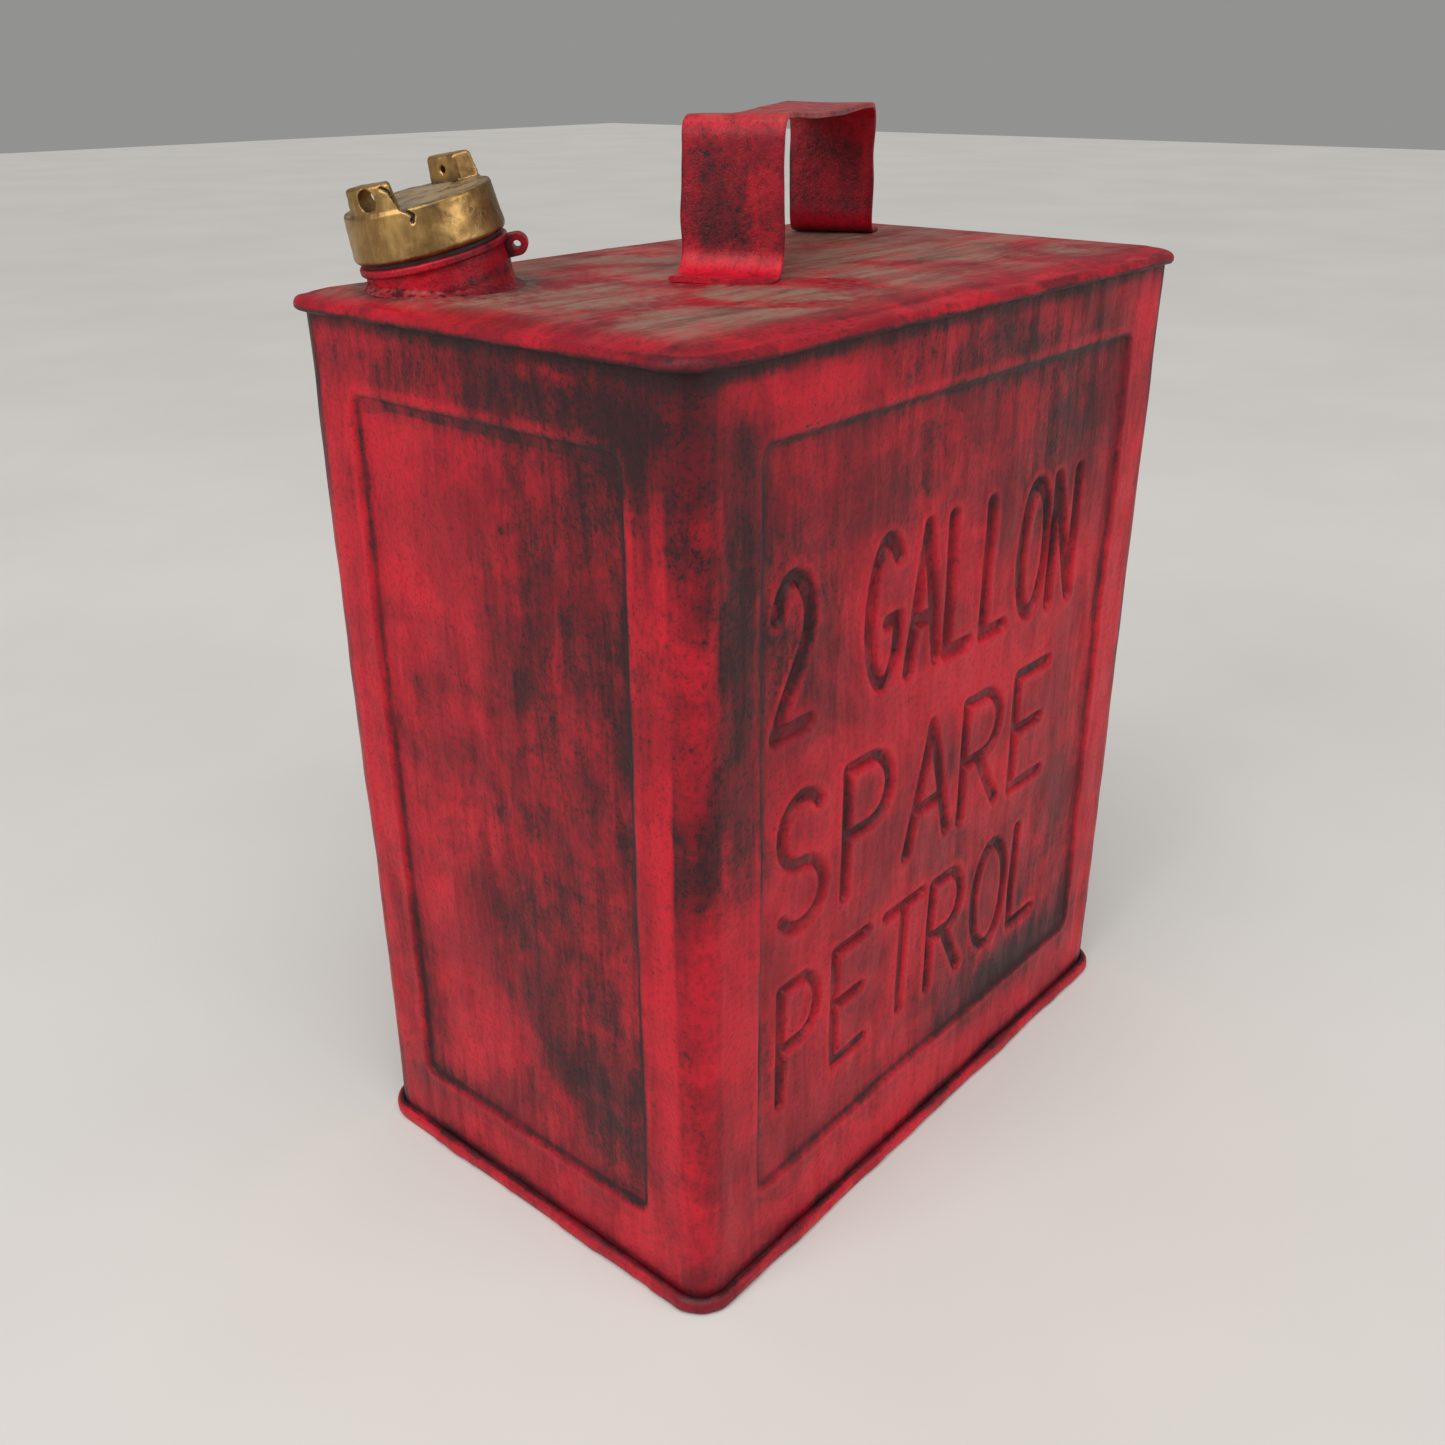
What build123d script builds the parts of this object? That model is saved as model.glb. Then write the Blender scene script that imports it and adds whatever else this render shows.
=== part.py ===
"""Two-gallon pressed-steel petrol can with a strap handle and a leaning filler neck.

Millimetres, +Z up, the origin under the middle of the base. X runs along the
wide faces, Y through the can. The neck stands near the rear left corner and
leans outwards; its pieces are drawn on a plane of their own, neck_foot.
"""
import os
from math import atan2, cos, degrees, radians, sin

from build123d import *

os.makedirs("parts", exist_ok=True)

# Body
body_width = 242.0
body_depth = 148.0
body_height = 285.8
corner_radius = 9.3
sheet = 1.0

# Base pan, a dished sheet whose edge is rolled round the foot of the walls
base_rim_height = 5.6
base_rim_reach = 2.9
base_rim_round = 2.2
base_inner_flange = 7.0
base_floor_rise = 3.0
wall_foot_height = 2.0

# Top plate, folded down over the walls
lid_skirt = 5.1
lid_shoulder_drop = 1.6
lid_shoulder = 10.0
lid_reach = 3.0
lid_edge_round = 2.4
lid_sheet = 1.2
lid_seat_gap = 0.2
lid_under_ledge = 12.0
wall_top_drop = 2.6

# Pressed panels: margins from the wall's edges, the skirt and the ground
panel_depth = 1.6
panel_bevel_angle = 55.0
panel_corner = 5.0
wide_panel_margin = 24.6
wide_panel_bottom = 30.4
wide_panel_top_margin = 19.3
narrow_panel_margin = 21.5
narrow_panel_bottom = 27.3
narrow_panel_top_margin = 20.3
seam_from_corner = 15.0
lap_length = 5.0
lap_joggle = 3.0

# Strap handle
handle_center = (22.9, 13.2)
handle_angle = 23.0
handle_span = 117.0
handle_rise = 43.0
handle_width = 30.0
handle_strap = 1.6
handle_top_bend = 5.5
handle_foot_bend = 7.0
handle_foot_length = 12.0

# Filler neck, near the rear left corner of the body
neck_from_side = 29.0
neck_from_rear = 31.0
neck_lean = 13.0
neck_lean_direction = 152.0
neck_radius = 19.6
neck_depth = 9.0
neck_height = 8.0
neck_hole_gap = 0.1
solder_reach = 2.4
solder_height = 1.8
solder_slope = 48.0

# Threaded collar on the neck
collar_reach = 1.1
collar_height = 2.2
collar_round = 0.7
collar_spigot = 9.8
collar_wall = 2.0

# Thread shared by the collar and the cap
thread_pitch = 3.0
thread_depth = 1.1
thread_root_width = 1.3
thread_tip_width = 0.6
thread_overlap = 0.1
thread_run_in = 1.0

# Seal lug on the collar
seal_lug_direction = -46.0
seal_lug_reach = 5.0
seal_lug_tall = 6.0
seal_lug_thick = 4.0
seal_lug_drop = 3.8
seal_hole = 2.2

# Cap and washer
seat_gap = 0.05
washer_thick = 0.9
washer_inset = 2.0
washer_bore_gap = 1.2
cap_reach = 0.5
cap_wall_height = 13.0
cap_top_round = 0.9
cap_draft = 1.0
cap_foot_round = 1.6
plug_clearance = 0.3
plug_wall = 3.0
plug_length = 9.5
crown_thick = 4.0
cap_lug_height = 7.0
cap_lug_inset = 1.4
cap_lug_thick = 6.8
cap_lug_outer_width = 22.0
cap_lug_inner_width = 10.0
cap_lug_chamfer = 0.6
cap_lug_taper = 5.0
cap_lug_direction = 191.0
cap_lug_drill_margin = 1.0
big_lug_hole = 5.5
small_lug_hole = 2.0

# Sizes that follow from the ones above
skirt_bottom = body_height - lid_skirt
shoulder_height = body_height - lid_shoulder_drop
wall_top_height = body_height - wall_top_drop
wide_panel_top = skirt_bottom - wide_panel_top_margin
narrow_panel_top = skirt_bottom - narrow_panel_top_margin
base_floor_height = base_floor_rise + sheet
inside_width = body_width - 2 * sheet
inside_depth = body_depth - 2 * sheet
neck_center = (neck_from_side - body_width / 2, body_depth / 2 - neck_from_rear)
neck_bore_radius = neck_radius - sheet
collar_radius = neck_radius + collar_reach
thread_bore_radius = neck_bore_radius - collar_wall
cap_radius = collar_radius + cap_reach
washer_radius = cap_radius - washer_inset
lug_outer_radius = cap_radius - cap_lug_inset
lug_inner_radius = lug_outer_radius - cap_lug_thick
collar_top = neck_height + collar_height
collar_bottom = neck_height - collar_spigot
washer_bottom = collar_top + seat_gap
cap_bottom = washer_bottom + washer_thick + seat_gap
cap_top = cap_bottom + cap_wall_height
plug_root_radius = thread_bore_radius - thread_depth - plug_clearance
plug_bottom = cap_bottom - plug_length

# Neck frame: z along the neck, x towards the side it leans to
lean = radians(neck_lean)
lean_heading = radians(neck_lean_direction)
neck_dir = Vector(sin(lean) * cos(lean_heading), sin(lean) * sin(lean_heading), cos(lean))
neck_x = Vector(cos(lean) * cos(lean_heading), cos(lean) * sin(lean_heading), -sin(lean))
neck_foot = Plane(origin=(*neck_center, body_height), x_dir=neck_x, z_dir=neck_dir)
neck_axis = Axis(neck_foot.origin, neck_dir)


def heading_in_neck(heading):
    """Turn about the neck, in degrees from neck_foot's x, that faces a compass heading."""
    flat = Vector(cos(radians(heading)), sin(radians(heading)), 0)
    return degrees(atan2(flat.dot(neck_foot.y_dir), flat.dot(neck_foot.x_dir)))


def outward_at(turn):
    """Direction straight out of the neck's axis at that turn about it."""
    return neck_foot.x_dir * cos(radians(turn)) + neck_foot.y_dir * sin(radians(turn))


def neck_section(turn=0.0):
    """Plane through the neck's axis: x is the radius at that turn, y runs up the neck."""
    outward = outward_at(turn)
    return Plane(origin=neck_foot.origin, x_dir=outward, z_dir=outward.cross(neck_dir))


def neck_level(height, turn=0.0):
    """Plane square to the neck's axis at a height above its foot, its x at that turn."""
    return Plane(origin=neck_foot.origin + neck_dir * height, x_dir=outward_at(turn), z_dir=neck_dir)


def body_outline(inset, mode=Mode.ADD):
    """The can's plan outline, moved in by inset (out where it is negative)."""
    RectangleRounded(body_width - 2 * inset, body_depth - 2 * inset, corner_radius - inset, mode=mode)


def panel_planes(inset):
    """One (plane, width, bottom, top) for the pressed panel of each of the four walls."""
    wide = body_width - 2 * wide_panel_margin
    narrow = body_depth - 2 * narrow_panel_margin
    half_width = body_width / 2 - inset
    half_depth = body_depth / 2 - inset
    return [
        (Plane(origin=(0, -half_depth, 0), x_dir=(1, 0, 0), z_dir=(0, -1, 0)),
         wide, wide_panel_bottom, wide_panel_top),
        (Plane(origin=(0, half_depth, 0), x_dir=(-1, 0, 0), z_dir=(0, 1, 0)),
         wide, wide_panel_bottom, wide_panel_top),
        (Plane(origin=(-half_width, 0, 0), x_dir=(0, -1, 0), z_dir=(-1, 0, 0)),
         narrow, narrow_panel_bottom, narrow_panel_top),
        (Plane(origin=(half_width, 0, 0), x_dir=(0, 1, 0), z_dir=(1, 0, 0)),
         narrow, narrow_panel_bottom, narrow_panel_top),
    ]


def pressed_block(inset):
    """Solid block inside the walls' face moved in by inset, with the four panels pressed in."""
    with BuildPart() as block:
        with BuildSketch(Plane.XY.offset(wall_foot_height)):
            body_outline(inset)
        extrude(amount=wall_top_height - wall_foot_height)
        for plane, width, bottom, top in panel_planes(inset):
            with BuildSketch(plane):
                with Locations((0, (bottom + top) / 2)):
                    RectangleRounded(width, top - bottom, panel_corner)
            extrude(amount=-panel_depth, taper=panel_bevel_angle, mode=Mode.SUBTRACT)
    return block.part


def front_region():
    """Plan region that the front shell covers: the front strip and the left strip."""
    with BuildPart() as region:
        with BuildSketch(Plane.XY):
            with Locations((0, -body_depth / 2)):
                Rectangle(2 * body_width, 2 * seam_from_corner)
            with Locations((-body_width / 2, 0)):
                Rectangle(2 * seam_from_corner, 2 * body_depth)
        extrude(amount=body_height)
    return region.part


# ---------------------------------------------------------------- walls
walls_outside = pressed_block(0)
walls_inside = pressed_block(sheet)
front_half = front_region()

with BuildPart() as front_shell:
    add(walls_outside)
    add(walls_inside, mode=Mode.SUBTRACT)
    add(front_half, mode=Mode.INTERSECT)

with BuildPart() as rear_shell:
    add(walls_outside)
    add(walls_inside, mode=Mode.SUBTRACT)
    add(front_half, mode=Mode.SUBTRACT)
    # The two ends step in by one sheet and lie under the front shell's edges
    tongue = lap_length + lap_joggle
    tongue_middle = seam_from_corner - lap_length + tongue / 2
    with BuildSketch(Plane.XY.offset(wall_foot_height)):
        with Locations((inside_width / 2 - sheet / 2, -body_depth / 2 + tongue_middle)):
            Rectangle(sheet, tongue)
        with Locations((-body_width / 2 + tongue_middle, inside_depth / 2 - sheet / 2)):
            Rectangle(tongue, sheet)
    extrude(amount=wall_top_height - wall_foot_height)

# ---------------------------------------------------------------- base
with BuildPart() as base_plate:
    with BuildSketch(Plane.XY):
        body_outline(-base_rim_reach)
    extrude(amount=base_rim_height)
    outer_edges = base_plate.edges().group_by(Axis.Z)[0] + base_plate.edges().group_by(Axis.Z)[-1]
    fillet(outer_edges, radius=base_rim_round)
    # Slot for the foot of the walls, tall enough that the sheet is gripped on both sides
    with BuildSketch(Plane.XY.offset(wall_foot_height)):
        body_outline(0)
        body_outline(2 * sheet, mode=Mode.SUBTRACT)
    extrude(amount=base_rim_height, mode=Mode.SUBTRACT)
    # Dish under the floor and the tray above it
    with BuildSketch(Plane.XY):
        body_outline(base_inner_flange)
    extrude(amount=base_floor_rise, mode=Mode.SUBTRACT)
    with BuildSketch(Plane.XY.offset(base_floor_height)):
        body_outline(3 * sheet)
    extrude(amount=base_rim_height, mode=Mode.SUBTRACT)

# ---------------------------------------------------------------- top
with BuildPart() as neck_bore:
    with BuildSketch(neck_level(-neck_depth)):
        Circle(neck_radius + neck_hole_gap)
    extrude(amount=neck_height + neck_depth)

with BuildPart() as top_plate:
    with BuildSketch(Plane.XY.offset(skirt_bottom)):
        body_outline(-lid_reach)
    extrude(amount=shoulder_height - skirt_bottom)
    with BuildSketch(Plane.XY.offset(shoulder_height)):
        body_outline(-lid_reach)
    with BuildSketch(Plane.XY.offset(body_height)):
        body_outline(lid_shoulder - lid_reach)
    loft(ruled=True)
    edge_band = top_plate.edges().filter_by_position(Axis.Z, shoulder_height - 0.01, shoulder_height + 0.01)
    fillet(edge_band, radius=lid_edge_round)
    # The fold's inside takes the walls, and the sheet is thin over the rest
    with BuildSketch(Plane.XY.offset(skirt_bottom)):
        body_outline(-lid_seat_gap)
    extrude(amount=wall_top_height + lid_seat_gap - skirt_bottom, mode=Mode.SUBTRACT)
    with BuildSketch(Plane.XY.offset(skirt_bottom)):
        RectangleRounded(body_width - 2 * lid_under_ledge, body_depth - 2 * lid_under_ledge, corner_radius)
    extrude(amount=body_height - lid_sheet - skirt_bottom, mode=Mode.SUBTRACT)
    add(neck_bore.part, mode=Mode.SUBTRACT)

# ---------------------------------------------------------------- handle
handle_plane = Plane(
    origin=(*handle_center, body_height),
    x_dir=(cos(radians(handle_angle)), sin(radians(handle_angle)), 0),
    z_dir=(sin(radians(handle_angle)), -cos(radians(handle_angle)), 0),
)
with BuildPart() as handle:
    with BuildSketch(handle_plane):
        half_span = handle_span / 2
        foot_end = half_span + handle_foot_length
        strap_mid = handle_strap / 2
        with BuildLine():
            FilletPolyline((-foot_end, strap_mid), (-half_span, strap_mid),
                           (-half_span, handle_foot_bend * 2), radius=handle_foot_bend)
            FilletPolyline((-half_span, handle_foot_bend * 2), (-half_span, handle_rise - strap_mid),
                           (half_span, handle_rise - strap_mid), (half_span, handle_foot_bend * 2),
                           radius=handle_top_bend)
            FilletPolyline((half_span, handle_foot_bend * 2), (half_span, strap_mid),
                           (foot_end, strap_mid), radius=handle_foot_bend)
        trace(line_width=handle_strap)
    extrude(amount=handle_width / 2, both=True)

# ---------------------------------------------------------------- neck
with BuildPart() as neck_sleeve:
    with BuildSketch(neck_level(-neck_depth)):
        Circle(neck_radius)
        Circle(neck_bore_radius, mode=Mode.SUBTRACT)
    extrude(amount=neck_height + neck_depth)

with BuildPart() as neck_solder:
    with BuildSketch(Plane(origin=(*neck_center, body_height), x_dir=(cos(lean_heading), sin(lean_heading), 0))):
        Ellipse(neck_radius / cos(lean) + solder_reach, neck_radius + solder_reach)
    extrude(amount=solder_height, taper=solder_slope)
    add(neck_bore.part, mode=Mode.SUBTRACT)


def thread_ridge(root_radius, outward, start, length, phase):
    """Helical ridge on a cylinder about the neck: outward for a screw, inward for a bore."""
    side = 1 if outward else -1
    buried = root_radius - side * thread_overlap
    rise = side * (thread_depth + thread_overlap)
    with BuildPart() as ridge:
        with BuildLine() as path:
            Helix(pitch=thread_pitch, height=length, radius=buried)
        with BuildSketch(Plane(origin=(buried, 0, 0), x_dir=(1, 0, 0), z_dir=(0, 1, 0))):
            with BuildLine():
                Polyline((0, -thread_root_width / 2), (rise, -thread_tip_width / 2),
                         (rise, thread_tip_width / 2), (0, thread_root_width / 2), close=True)
            make_face()
        sweep(path=path.wires()[0], is_frenet=True)
    return neck_level(start, phase).location * ridge.part


collar_thread_start = collar_bottom + thread_run_in
collar_thread = thread_ridge(thread_bore_radius, False, collar_thread_start,
                             collar_top - thread_run_in - collar_thread_start, 0)
with BuildPart() as neck_collar:
    with BuildSketch(neck_section()):
        with BuildLine():
            Polyline((thread_bore_radius, collar_bottom), (neck_bore_radius, collar_bottom),
                     (neck_bore_radius, neck_height), (collar_radius, neck_height),
                     (collar_radius, collar_top), (thread_bore_radius, collar_top), close=True)
        make_face()
    revolve(axis=neck_axis)
    rim_edges = neck_collar.edges().filter_by(GeomType.CIRCLE).sort_by(SortBy.RADIUS)[-2:]
    fillet(rim_edges, radius=collar_round)
    add(collar_thread)

lug_plane = neck_section(heading_in_neck(seal_lug_direction))
with BuildPart() as seal_lug:
    lug_middle = collar_top - seal_lug_drop
    lug_end = collar_radius + seal_lug_reach
    with BuildSketch(lug_plane):
        with Locations((lug_end - seal_lug_tall / 2, lug_middle)):
            Circle(seal_lug_tall / 2)
        with Locations(((lug_end - seal_lug_tall / 2 + neck_bore_radius) / 2, lug_middle)):
            Rectangle(lug_end - seal_lug_tall / 2 - neck_bore_radius, seal_lug_tall)
        with Locations((lug_end - seal_lug_tall / 2, lug_middle)):
            Circle(seal_hole / 2, mode=Mode.SUBTRACT)
    extrude(amount=seal_lug_thick / 2, both=True)
    with BuildSketch(neck_level(-neck_depth)):
        Circle(neck_radius)
    extrude(amount=neck_height + neck_depth, mode=Mode.SUBTRACT)
    with BuildSketch(neck_level(neck_height)):
        Circle(collar_radius)
    extrude(amount=2 * collar_height, mode=Mode.SUBTRACT)

# ---------------------------------------------------------------- cap
cap_thread_start = plug_bottom + thread_run_in
# Half a pitch between the two ridges, so each runs in the middle of the other's groove
mating_phase = 360 * ((cap_thread_start - collar_thread_start) / thread_pitch - 0.5)
cap_thread = thread_ridge(plug_root_radius, True, cap_thread_start,
                          plug_length - 2 * thread_run_in, mating_phase)

with BuildPart() as cap_washer:
    with BuildSketch(neck_level(washer_bottom)):
        Circle(washer_radius)
        Circle(plug_root_radius + washer_bore_gap, mode=Mode.SUBTRACT)
    extrude(amount=washer_thick)

# Two lugs for a bar, flat inside and round outside, their ends slanting in
lug_frame = neck_level(cap_top, heading_in_neck(cap_lug_direction))
lug_root = neck_level(cap_top - cap_top_round, heading_in_neck(cap_lug_direction))
with BuildPart() as cap_lugs:
    for side in (1, -1):
        with BuildSketch(lug_root):
            with BuildLine():
                Polyline((side * lug_inner_radius, -side * cap_lug_inner_width / 2),
                         (side * cap_radius, -side * cap_lug_outer_width / 2),
                         (side * cap_radius, side * cap_lug_outer_width / 2),
                         (side * lug_inner_radius, side * cap_lug_inner_width / 2), close=True)
            make_face()
            Circle(lug_outer_radius, mode=Mode.INTERSECT)
        extrude(amount=cap_lug_height + cap_top_round, taper=cap_lug_taper)
    lug_tops = cap_lugs.faces().sort_by(neck_axis)[-2:]
    chamfer(lug_tops.edges(), length=cap_lug_chamfer)
    for side, hole in ((1, big_lug_hole), (-1, small_lug_hole)):
        drill = Plane(origin=lug_frame.from_local_coords(Vector(side * cap_radius, 0, cap_lug_height / 2)),
                      x_dir=lug_frame.y_dir, z_dir=-side * lug_frame.x_dir)
        with BuildSketch(drill):
            Circle(hole / 2)
        extrude(amount=cap_radius - lug_inner_radius + cap_lug_drill_margin, mode=Mode.SUBTRACT)

with BuildPart() as filler_cap:
    with BuildSketch(neck_section()):
        with BuildLine():
            Polyline((0, cap_top), (cap_radius - cap_draft, cap_top), (cap_radius, cap_bottom),
                     (plug_root_radius, cap_bottom), (plug_root_radius, plug_bottom),
                     (plug_root_radius - plug_wall, plug_bottom),
                     (plug_root_radius - plug_wall, cap_top - crown_thick),
                     (0, cap_top - crown_thick), close=True)
        make_face()
    revolve(axis=neck_axis)
    fillet(filler_cap.edges().filter_by(GeomType.CIRCLE).sort_by(neck_axis)[-1], radius=cap_top_round)
    fillet(filler_cap.edges().filter_by(GeomType.CIRCLE).sort_by(SortBy.RADIUS)[-1], radius=cap_foot_round)
    add(cap_thread)
    add(cap_lugs.part)

# ---------------------------------------------------------------- write
pieces = {
    "front_shell": front_shell,
    "rear_shell": rear_shell,
    "base_plate": base_plate,
    "top_plate": top_plate,
    "handle": handle,
    "neck_sleeve": neck_sleeve,
    "neck_solder": neck_solder,
    "neck_collar": neck_collar,
    "seal_lug": seal_lug,
    "cap_washer": cap_washer,
    "filler_cap": filler_cap,
}
for name, piece in pieces.items():
    piece.part.label = name
    export_step(piece.part, f"parts/{name}.step")
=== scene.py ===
"""Looks of the two-gallon petrol can: pressed red walls, dusty top, strap handle and brass cap.

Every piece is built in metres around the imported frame. The walls, the top and
the base are laid out as rings and strips of points, because their pressed and
rolled shapes are heights over a plan. The strap, the sleeve and the solder are
sections swept along a path or turned about the neck, and the cap and the seal
ear are softened copies of the frame's own nodes.
"""

import logging
import math
from dataclasses import dataclass, field
from enum import Enum

import bpy
import numpy as np
from mathutils import Matrix, Vector

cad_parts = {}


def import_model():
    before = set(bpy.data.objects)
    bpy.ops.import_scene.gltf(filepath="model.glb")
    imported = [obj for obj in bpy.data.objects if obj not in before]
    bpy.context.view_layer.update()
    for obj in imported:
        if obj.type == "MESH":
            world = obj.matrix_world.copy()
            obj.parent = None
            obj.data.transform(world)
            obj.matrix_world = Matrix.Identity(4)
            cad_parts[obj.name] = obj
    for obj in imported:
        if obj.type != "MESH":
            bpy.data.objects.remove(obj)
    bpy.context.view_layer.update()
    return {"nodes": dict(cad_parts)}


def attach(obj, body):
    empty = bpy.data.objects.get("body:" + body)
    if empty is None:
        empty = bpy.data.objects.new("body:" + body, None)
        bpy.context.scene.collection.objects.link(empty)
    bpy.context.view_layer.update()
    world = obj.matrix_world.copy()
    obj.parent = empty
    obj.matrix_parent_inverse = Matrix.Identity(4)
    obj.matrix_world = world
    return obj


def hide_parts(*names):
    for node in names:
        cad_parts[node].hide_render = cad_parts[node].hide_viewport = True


log = logging.getLogger("petrol_can")
MM = 0.001
EDGE_BAND = 4 * MM


# ------------------------------------------------------------------ hand tools
def deselect_all() -> None:
    """Leave edit mode and let go of everything."""
    if bpy.context.object and bpy.context.object.mode != "OBJECT":
        bpy.ops.object.mode_set(mode="OBJECT")
    bpy.ops.object.select_all(action="DESELECT")


def pick(piece: bpy.types.Object) -> None:
    """Make one piece the only selected and active one.

    Args:
        piece: The piece to work on.
    """
    deselect_all()
    piece.select_set(True)
    bpy.context.view_layer.objects.active = piece


def modify(piece: bpy.types.Object, kind: str, **settings: object) -> None:
    """Add a modifier and apply it at once.

    Args:
        piece: The piece that is modified.
        kind: The modifier's type, such as "BEVEL".
        settings: Its properties.
    """
    pick(piece)
    modifier = piece.modifiers.new(kind.lower(), kind)
    for key, value in settings.items():
        setattr(modifier, key, value)
    bpy.ops.object.modifier_apply(modifier=modifier.name)


def mesh_piece(name: str, points: np.ndarray, faces: list) -> bpy.types.Object:
    """A new object from points and faces.

    Args:
        name: The piece's name.
        points: Rows of x, y, z in metres.
        faces: Tuples of point indices, counter-clockwise from outside.

    Returns:
        The linked object.
    """
    mesh = bpy.data.meshes.new(name)
    mesh.from_pydata([tuple(p) for p in points], [], faces)
    mesh.update()
    piece = bpy.data.objects.new(name, mesh)
    bpy.context.collection.objects.link(piece)
    return piece


def coordinates(piece: bpy.types.Object) -> np.ndarray:
    """The piece's points as rows of x, y, z."""
    flat = np.empty(len(piece.data.vertices) * 3)
    piece.data.vertices.foreach_get("co", flat)
    return flat.reshape(-1, 3)


def set_coordinates(piece: bpy.types.Object, points: np.ndarray) -> None:
    """Move the piece's points to these rows of x, y, z."""
    piece.data.vertices.foreach_set("co", np.ascontiguousarray(points, float).ravel())
    piece.data.update()


def point_normals(piece: bpy.types.Object) -> np.ndarray:
    """The piece's outward direction at each point."""
    flat = np.empty(len(piece.data.vertices) * 3)
    piece.data.vertices.foreach_get("normal", flat)
    return flat.reshape(-1, 3)


def paint_points(piece: bpy.types.Object, name: str, values: np.ndarray) -> None:
    """Store one number per point for the piece's finish to read.

    Args:
        piece: The painted piece.
        name: The attribute's name.
        values: One value for each point, near 0 to 1; below 0 keeps the effect away.
    """
    layer = piece.data.attributes.new(name, "FLOAT", "POINT")
    layer.data.foreach_set("value", np.clip(values, -1.0, 1.5).astype(np.float32))


def smooth(piece: bpy.types.Object, angle: float = 50.0) -> None:
    """Shade smooth except over edges sharper than the angle, in degrees."""
    pick(piece)
    bpy.ops.object.shade_smooth_by_angle(angle=math.radians(angle))


def ramp_up(value: np.ndarray, low: float, high: float) -> np.ndarray:
    """Smooth step from 0 at low to 1 at high."""
    t = np.clip((value - low) / (high - low), 0.0, 1.0)
    return t * t * (3.0 - 2.0 * t)


def ripple(points: np.ndarray, size: float, seed: int, waves: int = 14) -> np.ndarray:
    """Smooth random height field from a few crossing waves, about -1 to 1.

    Args:
        points: Rows of x, y, z in metres.
        size: Typical distance from crest to crest, in metres.
        seed: Chooses the waves.
        waves: How many waves are added.

    Returns:
        One value per point.
    """
    rng = np.random.default_rng(seed)
    total = np.zeros(len(points))
    for _ in range(waves):
        direction = rng.normal(size=3)
        direction /= np.linalg.norm(direction)
        rate = 2.0 * math.pi / (size * rng.uniform(0.6, 1.7))
        total += np.sin(points @ direction * rate + rng.uniform(0.0, 2.0 * math.pi))
    return total / math.sqrt(waves)


def stations(low: float, high: float, coarse: float,
             bands: list[tuple[float, float, float]]) -> np.ndarray:
    """Positions from low to high, closer together inside the bands.

    Args:
        low: First position.
        high: Last position.
        coarse: Spacing outside every band.
        bands: (from, to, spacing) of each finer stretch.

    Returns:
        The rising positions, with low and high among them.
    """
    marks = sorted({low, high, *(m for a, b, _ in bands for m in (a, b) if low < m < high)})
    out = [low]
    for a, b in zip(marks, marks[1:]):
        middle = (a + b) / 2
        step = min([s for p, q, s in bands if p <= middle <= q], default=coarse)
        count = max(1, round((b - a) / step))
        out += [a + (b - a) * (i + 1) / count for i in range(count)]
    return np.array(out)


def fine_edges(at: float, spacing: float) -> list[tuple[float, float, float]]:
    """Bands of finer stations round the two edges that stand at minus and plus one place."""
    return [(place - EDGE_BAND, place + EDGE_BAND, spacing) for place in (-at, at)]


def spread(values: np.ndarray, count: int) -> np.ndarray:
    """One value for each column, repeated over its heights."""
    return np.repeat(values[:, None], count, axis=1)


# ------------------------------------------------------------------ lettering
def arc(cx: float, cy: float, rx: float, ry: float, start: float,
        stop: float) -> list[tuple[float, float]]:
    """Points along an arc of an ellipse, angles in degrees."""
    count = max(4, int(abs(stop - start) / 15))
    turns = [math.radians(start + (stop - start) * i / count) for i in range(count + 1)]
    return [(cx + rx * math.cos(t), cy + ry * math.sin(t)) for t in turns]


def plain_letters() -> dict[str, list[list[tuple[float, float]]]]:
    """Strokes of each plain block letter, in a box one unit tall."""
    bowl = [(0.0, 0.0), (0.0, 1.0), *arc(0.28, 0.74, 0.26, 0.26, 90, -90), (0.0, 0.48)]
    return {
        "2": [[*arc(0.28, 0.71, 0.27, 0.28, 165, -35), (0.0, 0.0), (0.56, 0.0)]],
        "G": [[*arc(0.32, 0.5, 0.31, 0.5, 48, 318), (0.58, 0.43), (0.36, 0.43)]],
        "A": [[(0.0, 0.0), (0.3, 1.0), (0.6, 0.0)], [(0.11, 0.34), (0.49, 0.34)]],
        "L": [[(0.0, 1.0), (0.0, 0.0), (0.48, 0.0)]],
        "O": [arc(0.31, 0.5, 0.31, 0.5, 0, 360)],
        "N": [[(0.0, 0.0), (0.0, 1.0), (0.54, 0.0), (0.54, 1.0)]],
        "S": [[*arc(0.27, 0.745, 0.25, 0.255, 35, 255), *arc(0.27, 0.245, 0.27, 0.245, 75, -150)]],
        "P": [bowl],
        "R": [bowl, [(0.24, 0.48), (0.55, 0.0)]],
        "E": [[(0.5, 1.0), (0.0, 1.0), (0.0, 0.0), (0.5, 0.0)], [(0.0, 0.52), (0.42, 0.52)]],
        "T": [[(0.0, 1.0), (0.62, 1.0)], [(0.31, 1.0), (0.31, 0.0)]],
    }


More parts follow.
